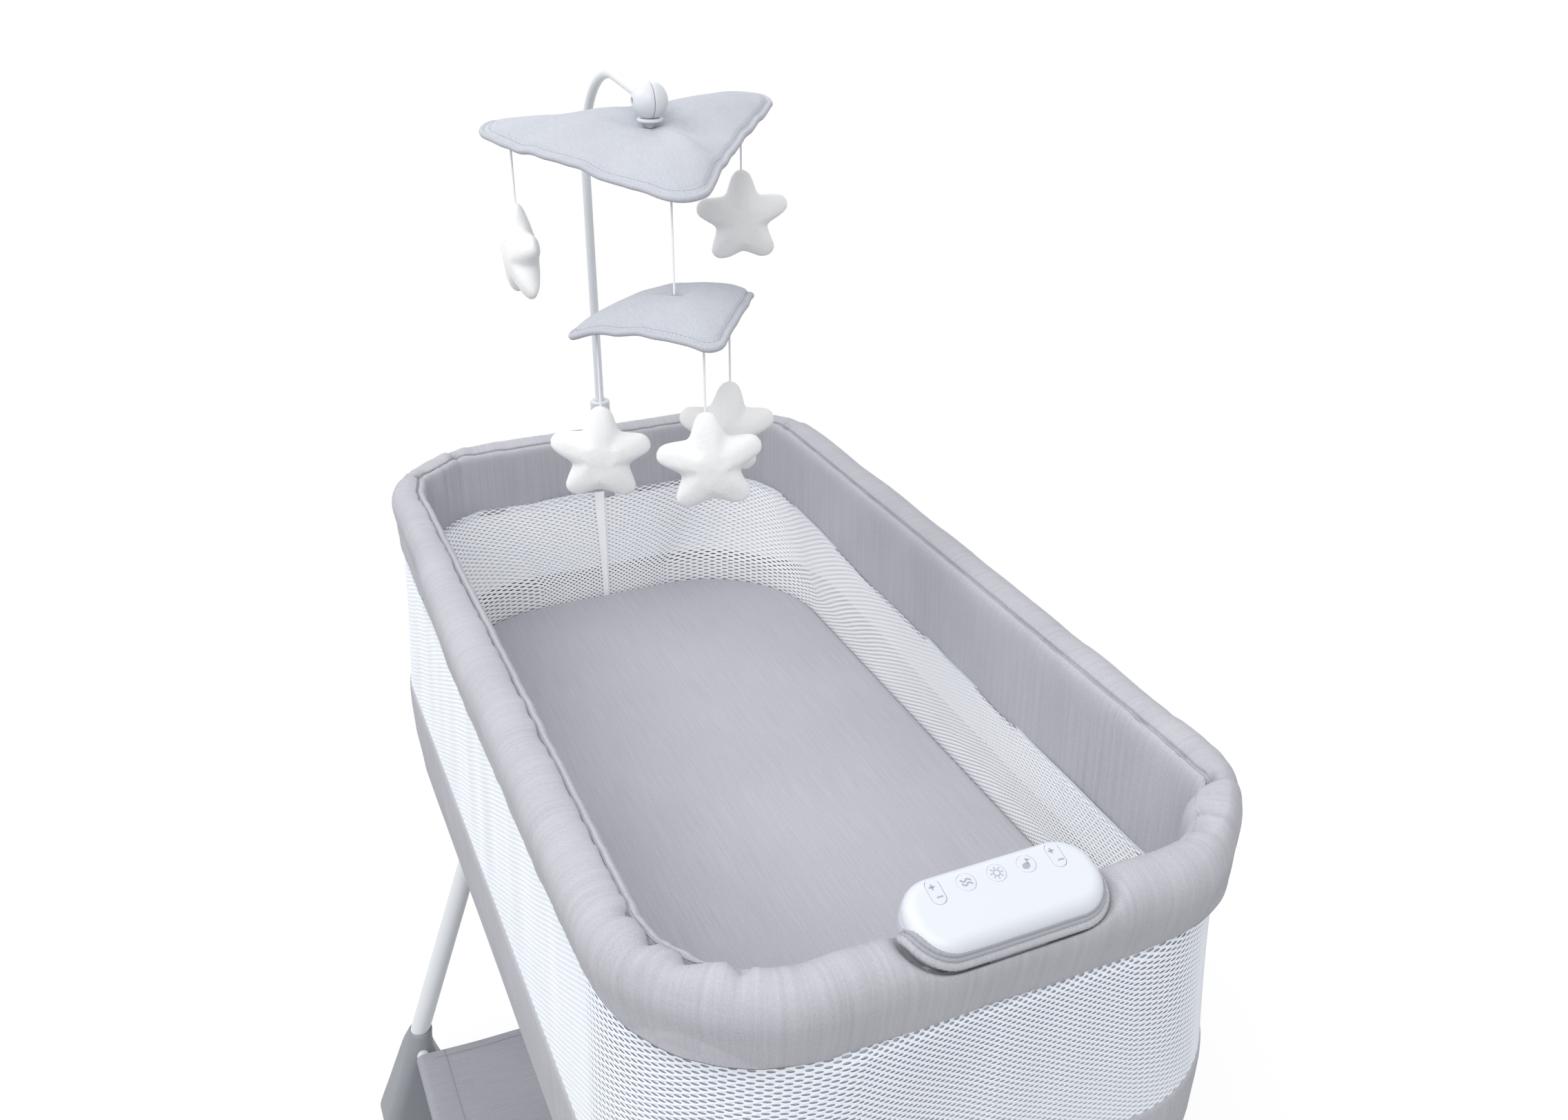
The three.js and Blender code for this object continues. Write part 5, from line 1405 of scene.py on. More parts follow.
def make_foot(end, side, corner):
    y = end * RAIL_Y
    loops = []

    def add_loop(ring, x, z):
        loops.append(np.column_stack([ring + [x, y], np.full(len(ring), z)]))

    for z, outer, inner, half_depth, radius in smooth_line(FOOT_SECTIONS, 44):
        ring = rounded_ring((outer - inner) / 2, half_depth, min(radius, half_depth - 0.0003), 72)
        add_loop(ring, side * (leg_x(z) + (outer + inner) / 2), max(z, 0))
    # The cup's mouth turns in to the tube and goes down beside it. A level cut through a
    # splayed tube is a little wider than it is deep.
    for z, radius in ((CUP_Z + 0.0001, 0.0118), (CUP_Z - 0.0006, 0.0113), (CUP_Z - 0.008, 0.0112)):
        add_loop(rounded_ring(radius * 1.055, radius, radius * 0.999, 72), side * leg_x(z), z)
    foot = loft_object(f"foot_{corner}", loops, FOOT_GREY)
    sharpen(foot, 50)
    settle(foot, COT, "foot_plastic", f"leg_housing_{corner}")


def make_legs():
    for end_name, end in (("foot", -1), ("head", 1)):
        for side_name, side in (("left", -1), ("right", 1)):
            corner = f"{end_name}_{side_name}"
            node = f"leg_tube_{corner}"
            low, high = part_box(node)
            inset = LEG_RADIUS * 0.34
            heights = np.linspace(low.z + inset, high.z - inset, 12)
            path = [(side * leg_x(z), middle(node).y, z) for z in heights]
            painted_tube(f"tube_{corner}", path, LEG_RADIUS, 40, "leg_paint", node)
            make_foot(end, side, corner)
            saddle = softened_copy(f"leg_socket_{corner}", f"saddle_{corner}", 0.0012, SADDLE_GREY)
            settle(saddle, COT, "socket_plastic", f"leg_socket_{corner}")


def straight_tube(name, node, axis, radius, count, sides, **held):
    """A painted tube from end to end of a node's box; held gives a coordinate of its own."""
    low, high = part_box(node)
    path = np.tile(middle(node), (count, 1))
    path[:, "xyz".index(axis)] = np.linspace(getattr(low, axis), getattr(high, axis), count)
    for other, value in held.items():
        path[:, "xyz".index(other)] = value
    painted_tube(name, path, radius, sides, "frame_paint", node)


def half_tube(node, plan, z, end):
    """One of the two bent halves of a frame, from one side's middle to the other."""
    side = (Plan.STARTS[2] + Plan.STARTS[3]) / 2
    gap = 0.00015 / Plan.AROUND
    first, last = (side, 1 - side) if end == "foot" else (1 - side, 1 + side)
    share = np.linspace(first + gap, last - gap, 150)
    painted_tube(f"bent_{node}", plan.ring(share, z), RIM_RADIUS, 28, "frame_paint", node)


def make_frames():
    """The two bent frames, the uprights between them, and the rails under the basket and the shelf."""
    for side in ("left", "right"):
        straight_tube(f"rail_{side}", f"shelf_rail_{side}", "y", RAIL_RADIUS, 16, 28, z=RAIL_Z)
    for end in ("foot", "head"):
        straight_tube(f"crossbar_{end}", f"cross_rail_{end}", "x", RIM_RADIUS, 16, 32, z=LOWER_Z)
        straight_tube(f"post_{end}", f"upright_{end}", "z", reach(f"upright_{end}").x, 10, 24)
        half_tube(f"lower_tube_{end}", LOWER, LOWER_Z, end)
        half_tube(f"rim_tube_{end}", RIM, RIM_Z, end)


SHELF_SPREAD = middle("shelf_rail_right").x
SHELF_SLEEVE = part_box("shelf_sling")[1].z - RAIL_Z - 0.0001  # radius of the cloth round a rail
SHELF_SAG = 0.012


def shelf_level(x):
    """Height of the hanging cloth over the rails' centre line."""
    return SHELF_SLEEVE - SHELF_SAG * (1 - (x / SHELF_SPREAD) ** 2)


def shelf_dip(points):
    """Slow unevenness of the shelf, fading out towards its sleeves."""
    flat = points * [1, 1, 0]
    inward = SHELF_SPREAD - 0.012 - np.abs(points[..., 0])
    dip = ripple(flat, 5.0, 61) * 0.0035 + ripple(flat, 13.0, 62) * 0.0012
    return dip * ramp(inward, 0, 0.10)


def make_sling():
    """A cloth shelf with a sewn sleeve round each rail."""
    low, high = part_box("shelf_sling")
    thickness, wrap = 0.0013, 295
    x = np.linspace(-SHELF_SPREAD, SHELF_SPREAD, 60)[1:-1]
    round_rail = np.radians(np.linspace(90, 90 - wrap, 26))
    right = np.stack([SHELF_SPREAD + SHELF_SLEEVE * np.cos(round_rail), SHELF_SLEEVE * np.sin(round_rail)], 1)
    outer = np.concatenate([right[::-1] * [-1, 1], np.stack([x, shelf_level(x)], 1), right])
    # An inner line beside it makes the cloth's thickness.
    tangent = np.gradient(outer, axis=0)
    tangent /= np.linalg.norm(tangent, axis=1)[:, None]
    inner = outer + np.stack([tangent[:, 1], -tangent[:, 0]], 1) * thickness
    section = np.concatenate([outer, inner[::-1]])
    y = np.linspace(low.y, high.y, 90)
    points = np.empty((len(y), len(section), 3))
    points[:, :, 0] = section[:, 0]
    points[:, :, 1] = y[:, None]
    points[:, :, 2] = RAIL_Z + section[:, 1]
    points[:, :, 2] += shelf_dip(points)
    along = run_length(np.concatenate([section, section[:1]]))
    sling = grid_object("cloth_shelf", points, y - y[0], along, SLING, wrap_v=True, flip=True)
    close_ends(sling, *points.shape[:2])
    sharpen(sling, 60)
    settle(sling, COT, "grey_fabric", "shelf_sling")


def make_shelf_stitches():
    low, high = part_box("shelf_sling")
    proud = RAIL_Z + 0.0003
    y = np.linspace(low.y + 0.002, high.y - 0.002, 60)
    for name, side in (("left", -1), ("right", 1)):
        x = np.full(60, side * (SHELF_SPREAD - 0.024))
        thread_line(f"sleeve_stitch_{name}", np.column_stack([x, y, proud + shelf_level(x)]), material=SLING)
    x = np.linspace(-SHELF_SPREAD + 0.01, SHELF_SPREAD - 0.01, 80)
    for name, hem in (("foot", low.y + 0.010), ("head", high.y - 0.010)):
        line = np.column_stack([x, np.full(80, hem), proud + shelf_level(x)])
        line[:, 2] += shelf_dip(line)
        thread_line(f"shelf_hem_{name}", line, material=SLING)


make_legs()
make_frames()
make_sling()
make_shelf_stitches()

# ------------------------------------------------------------------ mobile: arm, hub, spindle
POLE_X = middle("mobile_arm").x
POLE_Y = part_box("mobile_arm")[1].y - reach("mobile_arm").x
POLE_RADIUS = reach("mobile_arm").x
ARM_END_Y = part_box("mobile_arm")[0].y
BEND_RADIUS = 0.115
ARM_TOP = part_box("mobile_arm")[1].z - POLE_RADIUS


def make_arm():
    """Straight up from its socket, round a bend, and down a straight slope to the hub."""
    centre_z = ARM_TOP - BEND_RADIUS
    straight = [(POLE_X, POLE_Y, z) for z in np.linspace(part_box("mobile_arm")[0].z, centre_z, 24)]
    bend = [(POLE_X, POLE_Y - BEND_RADIUS * (1 - math.cos(turn)), centre_z + BEND_RADIUS * math.sin(turn))
            for turn in np.radians(np.linspace(4, 84, 22))]
    slope_from = np.array([POLE_X, POLE_Y - BEND_RADIUS, ARM_TOP - 0.0004])
    slope_to = np.array([POLE_X, HUB.y + 0.0272, HUB.z + 0.001])
    slope = [tuple(slope_from + (slope_to - slope_from) * t) for t in np.linspace(0, 1, 10)]
    path = smooth_line(straight + bend + slope + [(POLE_X, ARM_END_Y, HUB.z)], 110)
    painted_tube("bent_arm", path, POLE_RADIUS, 28, "frame_paint", "mobile_arm", body="arm")


def make_arm_sleeve():
    low, high = (corner.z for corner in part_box("mobile_socket"))
    radius = SOCKET_RADIUS
    collar = radius + 0.0006
    bore = POLE_RADIUS + 0.0003
    profile = [(0.0004, low), (radius - 0.0012, low), (radius, low + 0.0012), (radius, high - 0.014),
               (collar, high - 0.013), (collar, high - 0.0016), (radius - 0.0008, high - 0.0002),
               (bore + 0.0008, high), (bore, high - 0.0006), (bore, high - 0.020)]
    sleeve = lathe("arm_sleeve", profile, (POLE_X, POLE_Y, 0), (0, 0, 1), HUB_WHITE, 40)
    sharpen(sleeve, 40)
    settle(sleeve, COT, "white_plastic", "mobile_socket")


def make_hub():
    """A ball in two halves, cut flat below, with a screw's recess in the left half."""
    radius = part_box("hub_shell_left")[1].z - HUB.z
    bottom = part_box("hub_shell_left")[0].z
    start = math.asin(0.0004 / radius)
    for name, side in (("left", -1), ("right", 1)):
        profile = [(radius - 0.0016, 0.00015)]
        for turn in np.linspace(start, math.pi / 2, 22)[:-1]:
            joint = 0.0004 * bell(turn - start, 0.03)
            profile.append((radius * math.cos(turn) - joint, radius * math.sin(turn)))
        profile.append((0.0004, radius))
        if side < 0:
            profile = [p for p in profile if p[0] > 0.0036 or p[1] < radius * 0.7]
            depth = radius - 0.0035
            profile += [(0.0034, profile[-1][1] - 0.0004), (0.0033, depth), (0.0004, depth)]
        shell = lathe(f"ball_half_{name}", profile, HUB, (side, 0, 0), HUB_WHITE, 56)
        cut_below(shell, bottom)
        sharpen(shell, 35)
        settle(shell, "arm", "white_plastic", f"hub_shell_{name}")


def make_spindle():
    """A disc under the hub, a short neck and a flange that the upper cloth sits on."""
    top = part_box("hub_shell_left")[0].z - 0.0003
    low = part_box("spindle")[0].z
    profile = [(0.0004, top), (0.0112, top), (0.0120, top - 0.0008), (0.0120, top - 0.0024),
               (0.0112, top - 0.0032), (0.0068, top - 0.0046), (0.0046, top - 0.0066), (0.0038, top - 0.0086),
               (0.0026, top - 0.0089), (0.0024, low + 0.0032), (0.0060, low + 0.0028), (0.0060, low + 0.0006),
               (0.0052, low), (0.0004, low)]
    spindle = lathe("turned_spindle", profile, (HUB.x, HUB.y, 0), (0, 0, 1), HUB_WHITE, 40)
    sharpen(spindle, 40)
    settle(spindle, "spinner", "white_plastic", "spindle")


def cut_below(made, level):
    """Slices off what is under this height and closes the cut."""
    with edited(made.data) as shape:
        geometry = shape.verts[:] + shape.edges[:] + shape.faces[:]
        cut = bmesh.ops.bisect_plane(shape, geom=geometry, plane_co=(0, 0, level), plane_no=(0, 0, -1),
                                     clear_outer=True)
        edges = [part for part in cut["geom_cut"] if isinstance(part, bmesh.types.BMEdge)]
        bmesh.ops.edgeloop_fill(shape, edges=edges)


make_arm()
make_arm_sleeve()
make_hub()
make_spindle()


# ------------------------------------------------------------------ mobile: cloths
CANOPY_SHARES = np.array([0, *np.linspace(0.06, 0.86, 15), 0.89, 0.915, 0.935, 0.955, 0.975, 0.988, 1])
STITCHED_AT = 0.955  # share of the way out where the stitches run


def heading(angle):
    """The level direction at this angle."""
    return np.array([math.cos(angle), math.sin(angle)])


class Canopy:
    """A three-cornered padded cloth about (x, y), with its top at z."""

    def __init__(self, x, y, top, radius, corners, bow, droop, tilt, loft, bore, folds):
        self.x, self.y, self.top, self.radius, self.corners, self.bow = x, y, top, radius, corners, bow
        self.droop, self.tilt, self.loft, self.bore, self.folds = droop, tilt, loft, bore, folds

    def outline(self, count):
        """Even points round the edge, with rounded corners and sides that bow a little."""
        round_off = self.radius * 0.14
        half_turn = math.radians(58)
        line = []
        angles = [math.radians(c) for c in self.corners]
        for k, angle in enumerate(angles):
            centre = heading(angle) * (self.radius - round_off)
            turns = np.linspace(-half_turn, half_turn, 9)
            line += [centre + round_off * heading(angle + turn) for turn in turns]
            after = angles[(k + 1) % 3]
            goal = heading(after) * (self.radius - round_off) + round_off * heading(after - half_turn)
            start = line[-1]
            side = goal - start
            outwards = np.array([side[1], -side[0]]) / np.linalg.norm(side)
            for t in np.linspace(0, 1, 10)[1:-1]:
                line.append(start + side * t + outwards * self.bow[k] * math.sin(math.pi * t))
        return smooth_line(np.array(line), count, closed=True)

    def surface(self, x, y):
        """Height of the cloth's middle layer over its centre."""
        far = np.hypot(x, y)
        height = -self.droop * far**2 / self.radius**2 + self.tilt[0] * x + self.tilt[1] * y
        return height * np.clip(far / 0.012 - 0.6, 0, 1)

    def sheet(self, edge, upper):
        """One of the two sewn sheets, as rings from its bore out to the edge."""
        rows = []
        for t in CANOPY_SHARES:
            flat = edge * t if t > 0 else edge / np.linalg.norm(edge, axis=1)[:, None] * self.bore
            x, y = flat.T
            height = self.surface(x, y) + self.folds(x, y, t)
            if upper:
                height += self.loft * (1 - t**5) * ramp(t, 0.06, 0.22)
                height -= 0.0008 * bell(t - STITCHED_AT, 0.010) + 0.0022 * max(t - 0.93, 0) / 0.07
            else:
                height -= 0.0125 * (1 - t**2.6) + 0.0048 * t
            rows.append(np.column_stack([self.x + x, self.y + y, self.top + height]))
        return np.array(rows)


def make_canopy(name, node, body, cloth):
    """Two sheets that meet in a round piped edge, with a row of stitches beside it."""
    count = 168
    edge = cloth.outline(count)
    upper, lower = cloth.sheet(edge, True), cloth.sheet(edge, False)
    points = np.concatenate([upper, lower[::-1]])
    flat = np.array([edge * (t if t > 0 else 0.02) for t in CANOPY_SHARES])
    flat = np.concatenate([flat, flat[::-1]])
    flat = np.concatenate([flat, flat[:, :1]], 1)
    canopy = grid_object(name, points, flat[..., 0], flat[..., 1], CANOPY, wrap_v=True)
    join_middle(canopy, len(points), count)
    settle(canopy, body, "canopy_fabric", node)
    rim_line = smooth_line((upper[-1] + lower[-1]) / 2, 240, closed=True)
    piping = sweep(f"{name}_piping", rim_line, 0.0030, CANOPY, sides=12, closed=True)
    settle(piping, body, "canopy_fabric")
    stitched_row = upper[int(np.argmin(np.abs(CANOPY_SHARES - STITCHED_AT)))]
    make_stitches(f"{name}_stitches", smooth_line(stitched_row, 600, closed=True), body)


def join_middle(made, rows, count):
    """Closes the bore's wall between the two sheets."""
    last = (rows - 1) * count
    with edited(made.data) as shape:
        for k in range(count):
            n = (k + 1) % count
            face = shape.faces.new([shape.verts[i] for i in (k, n, last + n, last + k)])
            face.smooth = True


def make_stitches(name, line, body):
    """A row of separate short stitches along a closed line."""
    length, gap, radius = 0.0028, 0.0016, 0.00038
    closed = np.concatenate([line, line[:1]])
    along = run_length(closed)
    count = int(along[-1] / (length + gap))
    points, faces, uv = [], [], []
    for k in range(count):
        first = (k + 0.1) * along[-1] / count
        start, end = resampled(closed, (first, first + length), along)
        direction = (end - start) / np.linalg.norm(end - start)
        side = np.cross(direction, [0, 0, 1.0])
        side /= np.linalg.norm(side)
        up = np.cross(side, direction)
        base = len(points)
        points += [place + radius * way for place in (start, end) for way in (side, up, -side, -up)]
        for j in range(4):
            n = (j + 1) % 4
            faces.append((base + j, base + n, base + 4 + n, base + 4 + j))
            uv.append([(u, v * radius) for u, v in ((0, j), (0, j + 1), (length, j + 1), (length, j))])
    stitches = faces_object(name, np.array(points), np.array(faces), np.array(uv), THREAD)
    settle(stitches, body, "canopy_fabric")


def turn_from(angle, degrees):
    """Turn from a direction in degrees to an angle, between minus and plus half a turn."""
    return (angle - math.radians(degrees) + math.pi) % (2 * math.pi) - math.pi


def upper_folds(x, y, t):
    """Ridges to the corners, a hollow at the middle of each side."""
    angle = np.arctan2(y, x)
    far = np.hypot(x, y) / 0.16
    near_edge = np.clip(far, 0, 1)
    ridge = sum(bell(turn_from(angle, corner), 0.34) for corner in UPPER_CORNERS)
    lift = 0.0050 * ridge * near_edge**1.3 - 0.0045 * (1 - ridge) * near_edge**2
    flat = np.column_stack([x, y, 0 * x])
    wrinkle = ripple(flat, 17.0, 70) * 0.0022 + ripple(flat, 34.0, 71) * 0.0014
    wrinkle += ripple(flat, 75.0, 72) * 0.0004
    hollow = -0.0035 * bell(np.hypot(x - 0.030, y + 0.012), 0.022)
    hollow -= 0.0030 * bell(np.hypot(x + 0.012, y + 0.035), 0.018)
    lift += 0.0075 * bell(angle - math.radians(46), 0.30) * near_edge**1.4
    lift += 0.0055 * bell(angle + math.radians(84), 0.18) * bell(far - 0.5, 0.3)
    lift -= 0.0060 * bell(angle + math.radians(38), 0.34) * bell(far - 0.34, 0.17)
    edge = 0.0016 * ripple(flat, 42.0, 77) * bell(t - 1.0, 0.10)
    return (lift + wrinkle + hollow) * np.clip(far * 6 - 0.6, 0, 1) + edge


def lower_folds(x, y, t):
    """Ridges to the corners, a lower front left side and a dimple round the string."""
    angle = np.arctan2(y, x)
    far = np.hypot(x, y) / 0.095
    near_edge = np.clip(far, 0, 1)
    ridge = sum(bell(turn_from(angle, corner), 0.4) for corner in LOWER_CORNERS)
    lift = -0.0045 * (1 - ridge) * near_edge**2
    lift -= 0.0060 * bell(turn_from(angle, -149), 0.55) * near_edge**1.5
    flat = np.column_stack([x, y, 0 * x])
    wrinkle = ripple(flat, 24.0, 74) * 0.0020 + ripple(flat, 48.0, 73) * 0.0012
    dimple = -0.0030 * bell(far - 0.06, 0.07)
    edge = 0.0014 * ripple(flat, 50.0, 78) * bell(t - 1.0, 0.12)
    return (lift + wrinkle) * np.clip(far * 5 - 0.8, 0, 1) + dimple * np.clip(far * 20, 0, 1) + edge


UPPER_CORNERS = (-98, 27, 149)
LOWER_CORNERS = (-90, 25, 152)
TIER = middle("string_front")
UPPER_CLOTH = Canopy(HUB.x, HUB.y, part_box("spindle")[0].z + 0.016, 0.1585, UPPER_CORNERS,
                     bow=(-0.004, -0.006, 0.002), droop=0.0113, tilt=(0.045, 0.119), loft=0.0065,
                     bore=0.0030, folds=upper_folds)
LOWER_CLOTH = Canopy(TIER.x, TIER.y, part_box("string_front")[0].z + 0.013, 0.0935, LOWER_CORNERS,
                     bow=(0.006, 0.004, 0.005), droop=0.024, tilt=(0.10, -0.08), loft=0.0045,
                     bore=0.0016, folds=lower_folds)
make_canopy("upper_cloth", "upper_canopy", "spinner", UPPER_CLOTH)
make_canopy("lower_cloth", "lower_canopy", "lower_tier", LOWER_CLOTH)

# ------------------------------------------------------------------ mobile: stars
# Name, direction its face looks in and lean to one side, in degrees.
STARS = (("left", 4, 4), ("right", -102, -1), ("lower_left", -110, 3), ("lower_front", -106, -4),
         ("lower_back", -100, 6))
STAR_TIP = 0.0490  # from a star's middle to the tip of a point
STAR_VALLEY = 0.0305  # and to the edge between two points
# Shares of the way from a star's middle to its edge.
STAR_SHARES = (0.03, 0.14, 0.27, 0.40, 0.52, 0.64, 0.74, 0.83, 0.90, 0.955, 0.985)


def star_outline(count):
    """Five round points, one of them straight up, as (across, up)."""
    line = []

    def add_point(size, angle):
        line.append((size * math.sin(angle), size * math.cos(angle)))

    for k, depth in enumerate((1.04, 1.0, 1.19, 1.0, 1.04)):
        angle = 2 * math.pi * k / 5
        for spread, size in ((-0.19, 0.935), (0.0, 1.0), (0.19, 0.935)):
            add_point(STAR_TIP * size, angle + spread)
        for spread in (-0.09, 0.09):
            add_point(STAR_VALLEY * depth, angle + math.pi / 5 + spread)
    return smooth_line(np.array(line), count, closed=True)


def star_mesh(seed):
    """A stuffed star lying in its own frame: x across, y out of its face, z up."""
    count = 120
    edge = star_outline(count)
    arms = np.linalg.norm(edge, axis=1) / STAR_TIP
    sheets = []
    for side in (1, -1):
        rows = []
        for t in STAR_SHARES:
            swell = 0.0150 * math.sqrt(1 - t**2.4) * (1 - 0.42 * t * (arms - 0.55))
            rows.append(np.column_stack([edge[:, 0] * t, side * swell, edge[:, 1] * t]))
        sheets.append(np.array(rows))
    seam = np.column_stack([edge[:, 0], np.zeros(count), edge[:, 1]])[None]
    points = np.concatenate([sheets[0], seam, sheets[1][::-1]])
    around = np.arange(count + 1) / count * 0.36
    along = run_length(points[:, 0])
    made = grid_object(f"star_form_{seed}", points, along, around, PLUSH, wrap_v=True, flip=True)
    close_ends(made, len(points), count)
    return made


def vertex_places(made):
    return np.array([v.co for v in made.data.vertices])


def move_vertices(made, points):
    made.data.vertices.foreach_set("co", points.astype(np.float32).ravel())
    made.data.update()


def inflate(made):
    """Cloth under pressure gives the stuffed form and the pull of its seam."""
    remesh = use(made, "REMESH", mode="VOXEL", voxel_size=0.0022)
    remesh.use_smooth_shade = True
    apply_modifiers(made)
    start = vertex_places(made)
    cloth = use(made, "CLOTH")
    settings = cloth.settings
    settings.quality = 6
    settings.mass = 0.15
    settings.tension_stiffness = 18
    settings.compression_stiffness = 18
    settings.shear_stiffness = 8
    settings.bending_stiffness = 0.3
    settings.use_pressure = True
    settings.uniform_pressure_force = 2.5
    settings.effector_weights.gravity = 0
    cloth.collision_settings.use_self_collision = False
    steps = 18
    cloth.point_cache.frame_start = 1
    cloth.point_cache.frame_end = steps
    scene = bpy.context.scene
    for step in range(1, steps + 1):
        scene.frame_set(step)
    apply_modifiers(made)
    scene.frame_set(1)
    shift = vertex_places(made) - start
    farthest = 0.0035
    length = np.maximum(np.linalg.norm(shift, axis=1), 1e-9)
    shift *= np.minimum(1, farthest / length)[:, None]
    points = (start + shift).astype(np.float32)
    points -= points.mean(0) * [1, 1, 0]
    move_vertices(made, points)


def fit_star(made, seed):
    """Brings the form to its full height and thickness, its tip at STAR_TIP, and adds dents."""
    points = vertex_places(made)
    size = np.ptp(points, axis=0)
    points *= STAR_TIP * (1 + math.cos(math.pi / 5)) / size[2]
    points[:, 2] += STAR_TIP - points[:, 2].max()
    points[:, 1] *= 0.0315 / np.ptp(points[:, 1])
    dent = ripple(points, 42.0, seed) * 0.0012 + ripple(points, 95.0, seed + 1) * 0.0005
    radial = points / np.maximum(np.linalg.norm(points, axis=1), 1e-6)[:, None]
    move_vertices(made, points + radial * dent[:, None])


def make_stars():
    for seed, (name, facing, lean) in enumerate(STARS, 80):
        form = star_mesh(seed)
        inflate(form)
        fit_star(form, seed)
        use(form, "SUBSURF", levels=1, render_levels=1)
        apply_modifiers(form)
        form.data.shade_smooth()
        string = middle(f"string_{name}")
        tip = Vector((0, 0, STAR_TIP))
        centre = Vector((string.x, string.y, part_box(f"star_{name}")[1].z - STAR_TIP))
        turn = Matrix.Rotation(math.radians(facing + 90), 4, "Z")
        turn = turn @ Matrix.Rotation(math.radians(lean), 4, "Y")
        form.data.transform(Matrix.Translation(centre + tip) @ turn @ Matrix.Translation(-tip))
        form.name = f"plush_star_{name}"
        settle(form, f"hanging_star_{name}", "plush", f"star_{name}")


make_stars()


# ------------------------------------------------------------------ control pod
def pod_loop(outline, level):
    """A flat outline set at this level of the pod's frame."""
    return from_pod(np.column_stack([outline, np.full(len(outline), level)]))


def pod_loft(name, rings):
    """A white shell through (grow, level) pairs of the pod's outline."""
    return loft_object(name, [pod_loop(pod_ring(grow, 144), level) for grow, level in rings], POD_WHITE)


def pod_button_x(node):
    return (middle(node) - POD_ORIGIN).x


def capsule(x, y, half, radius):
    """A round-ended outline along y."""
    angle = np.linspace(0, math.pi, 20)
    top = np.stack([x + radius * np.cos(angle), y + half - radius + radius * np.sin(angle)], 1)
    low = np.stack([x - radius * np.cos(angle), y - half + radius - radius * np.sin(angle)], 1)
    return np.concatenate([top, low])


ROUND_KEY = (0.0066, 0.0066)  # half width, half length
ROCKER_KEY = (0.0050, 0.0096)
BUTTONS = {
    "rocker_left": ROCKER_KEY, "vibration_button": ROUND_KEY, "light_button": ROUND_KEY,
    "music_button": ROUND_KEY, "rocker_right": ROCKER_KEY,
}
ROUND_GAP = 0.00014  # between a key and its opening
ROCKER_GAP = 0.00028
KEY_TOP = 0.00012  # height of the keys over the cover's face


def prism(name, outline, levels, material):
    """An outline stacked at (level, shrink) pairs in the pod's frame."""
    centre = outline.mean(0)
    away = outline - centre
    size = np.linalg.norm(away, axis=1)[:, None]
    loops = [pod_loop(centre + away * (1 - shrink / size), level) for level, shrink in levels]
    return loft_object(name, loops, material)


def make_cover():
    """The white cover with an opening for each key."""
    edge = 0.0098
    profile = [(0.0, -POD_COVER_DEPTH)]
    for angle in np.radians(np.linspace(0, 90, 11)):
        profile.append((edge * (math.cos(angle) - 1), edge * (math.sin(angle) - 1)))
    profile.append((-0.0125, 0.0))
    cover = pod_loft("pod_shell", profile)
    for node, (radius, half) in BUTTONS.items():
        gap = ROUND_GAP if half == radius else ROCKER_GAP
        outline = capsule(pod_button_x(node), BUTTON_ROW, half + gap, radius + gap)
        hole = prism("hole", outline, [(-0.006, 0), (0.02, 0)], POD_WHITE)
        use(cover, "BOOLEAN", operation="DIFFERENCE", object=hole, solver="EXACT")
        apply_modifiers(cover)
        bpy.data.objects.remove(hole)
    sharpen(cover, 30)
    use(cover, "WEIGHTED_NORMAL", keep_sharp=True)
    apply_modifiers(cover)
    settle(cover, COT, "white_plastic", "pod_cover")


def make_tray():
    """The pod's lower shell, and its moulded foot that sits on the rim tube."""
    rings = [(-0.0050, -POD_DEPTH), (-0.0015, -POD_DEPTH + 0.0025), (0, -POD_DEPTH + 0.008),
             (0, -POD_COVER_DEPTH - 0.0010), (-0.0006, -POD_COVER_DEPTH - 0.0003)]
    tray = pod_loft("pod_tray", rings)
    sharpen(tray, 40)
    settle(tray, COT, "white_plastic", "pod_base")
    half_length, half_width = 0.022, RIM_RADIUS + 0.003
    tube = pod_space(np.array([0, -RIM_B, RIM_Z]))
    outline = rounded_ring(half_length, half_width, 0.003, 40) + [0, tube[1]]
    saddle = tube[2] + RIM_RADIUS + 0.0006
    levels = (saddle, saddle + 0.0003, -POD_DEPTH + 0.001)
    foot = loft_object("pod_foot", [pod_loop(outline, level) for level in levels], POD_WHITE)
    sharpen(foot, 40)
    settle(foot, COT, "white_plastic")


def make_keys():
    for node, (radius, half) in BUTTONS.items():
        x = pod_button_x(node)
        levels = [(KEY_TOP - POD_BUTTON_HEIGHT, 0.0003), (KEY_TOP - 0.0003, 0), (KEY_TOP - 0.0001, 0.00008),
                  (KEY_TOP, 0.0003), (KEY_TOP, 0.0016)]
        key = prism(f"key_{node}", capsule(x, BUTTON_ROW, half, radius), levels, KEY_WHITE)
        sharpen(key, 30)
        settle(key, f"{node}_cap", "button_plastic", node)
        for symbol, outlines in icons(node, x):
            settle(flat_mark(f"{node}_{symbol}", outlines), f"{node}_cap", "button_plastic")


def turned(outline, angle, x, y):
    """An outline turned by angle and moved to (x, y)."""
    c, s = math.cos(angle), math.sin(angle)
    return outline @ np.array([[c, s], [-s, c]]) + [x, y]


def bar(x, y, length, width, angle=0.0):
    corners = np.array([(-1, -1), (1, -1), (1, 1), (-1, 1)]) * [length / 2, width / 2]
    return turned(corners, angle, x, y)


def oval(x, y, rx, ry, angle):
    turn = np.linspace(0, 2 * math.pi, 28, endpoint=False)
    return turned(np.stack([rx * np.cos(turn), ry * np.sin(turn)], 1), angle, x, y)


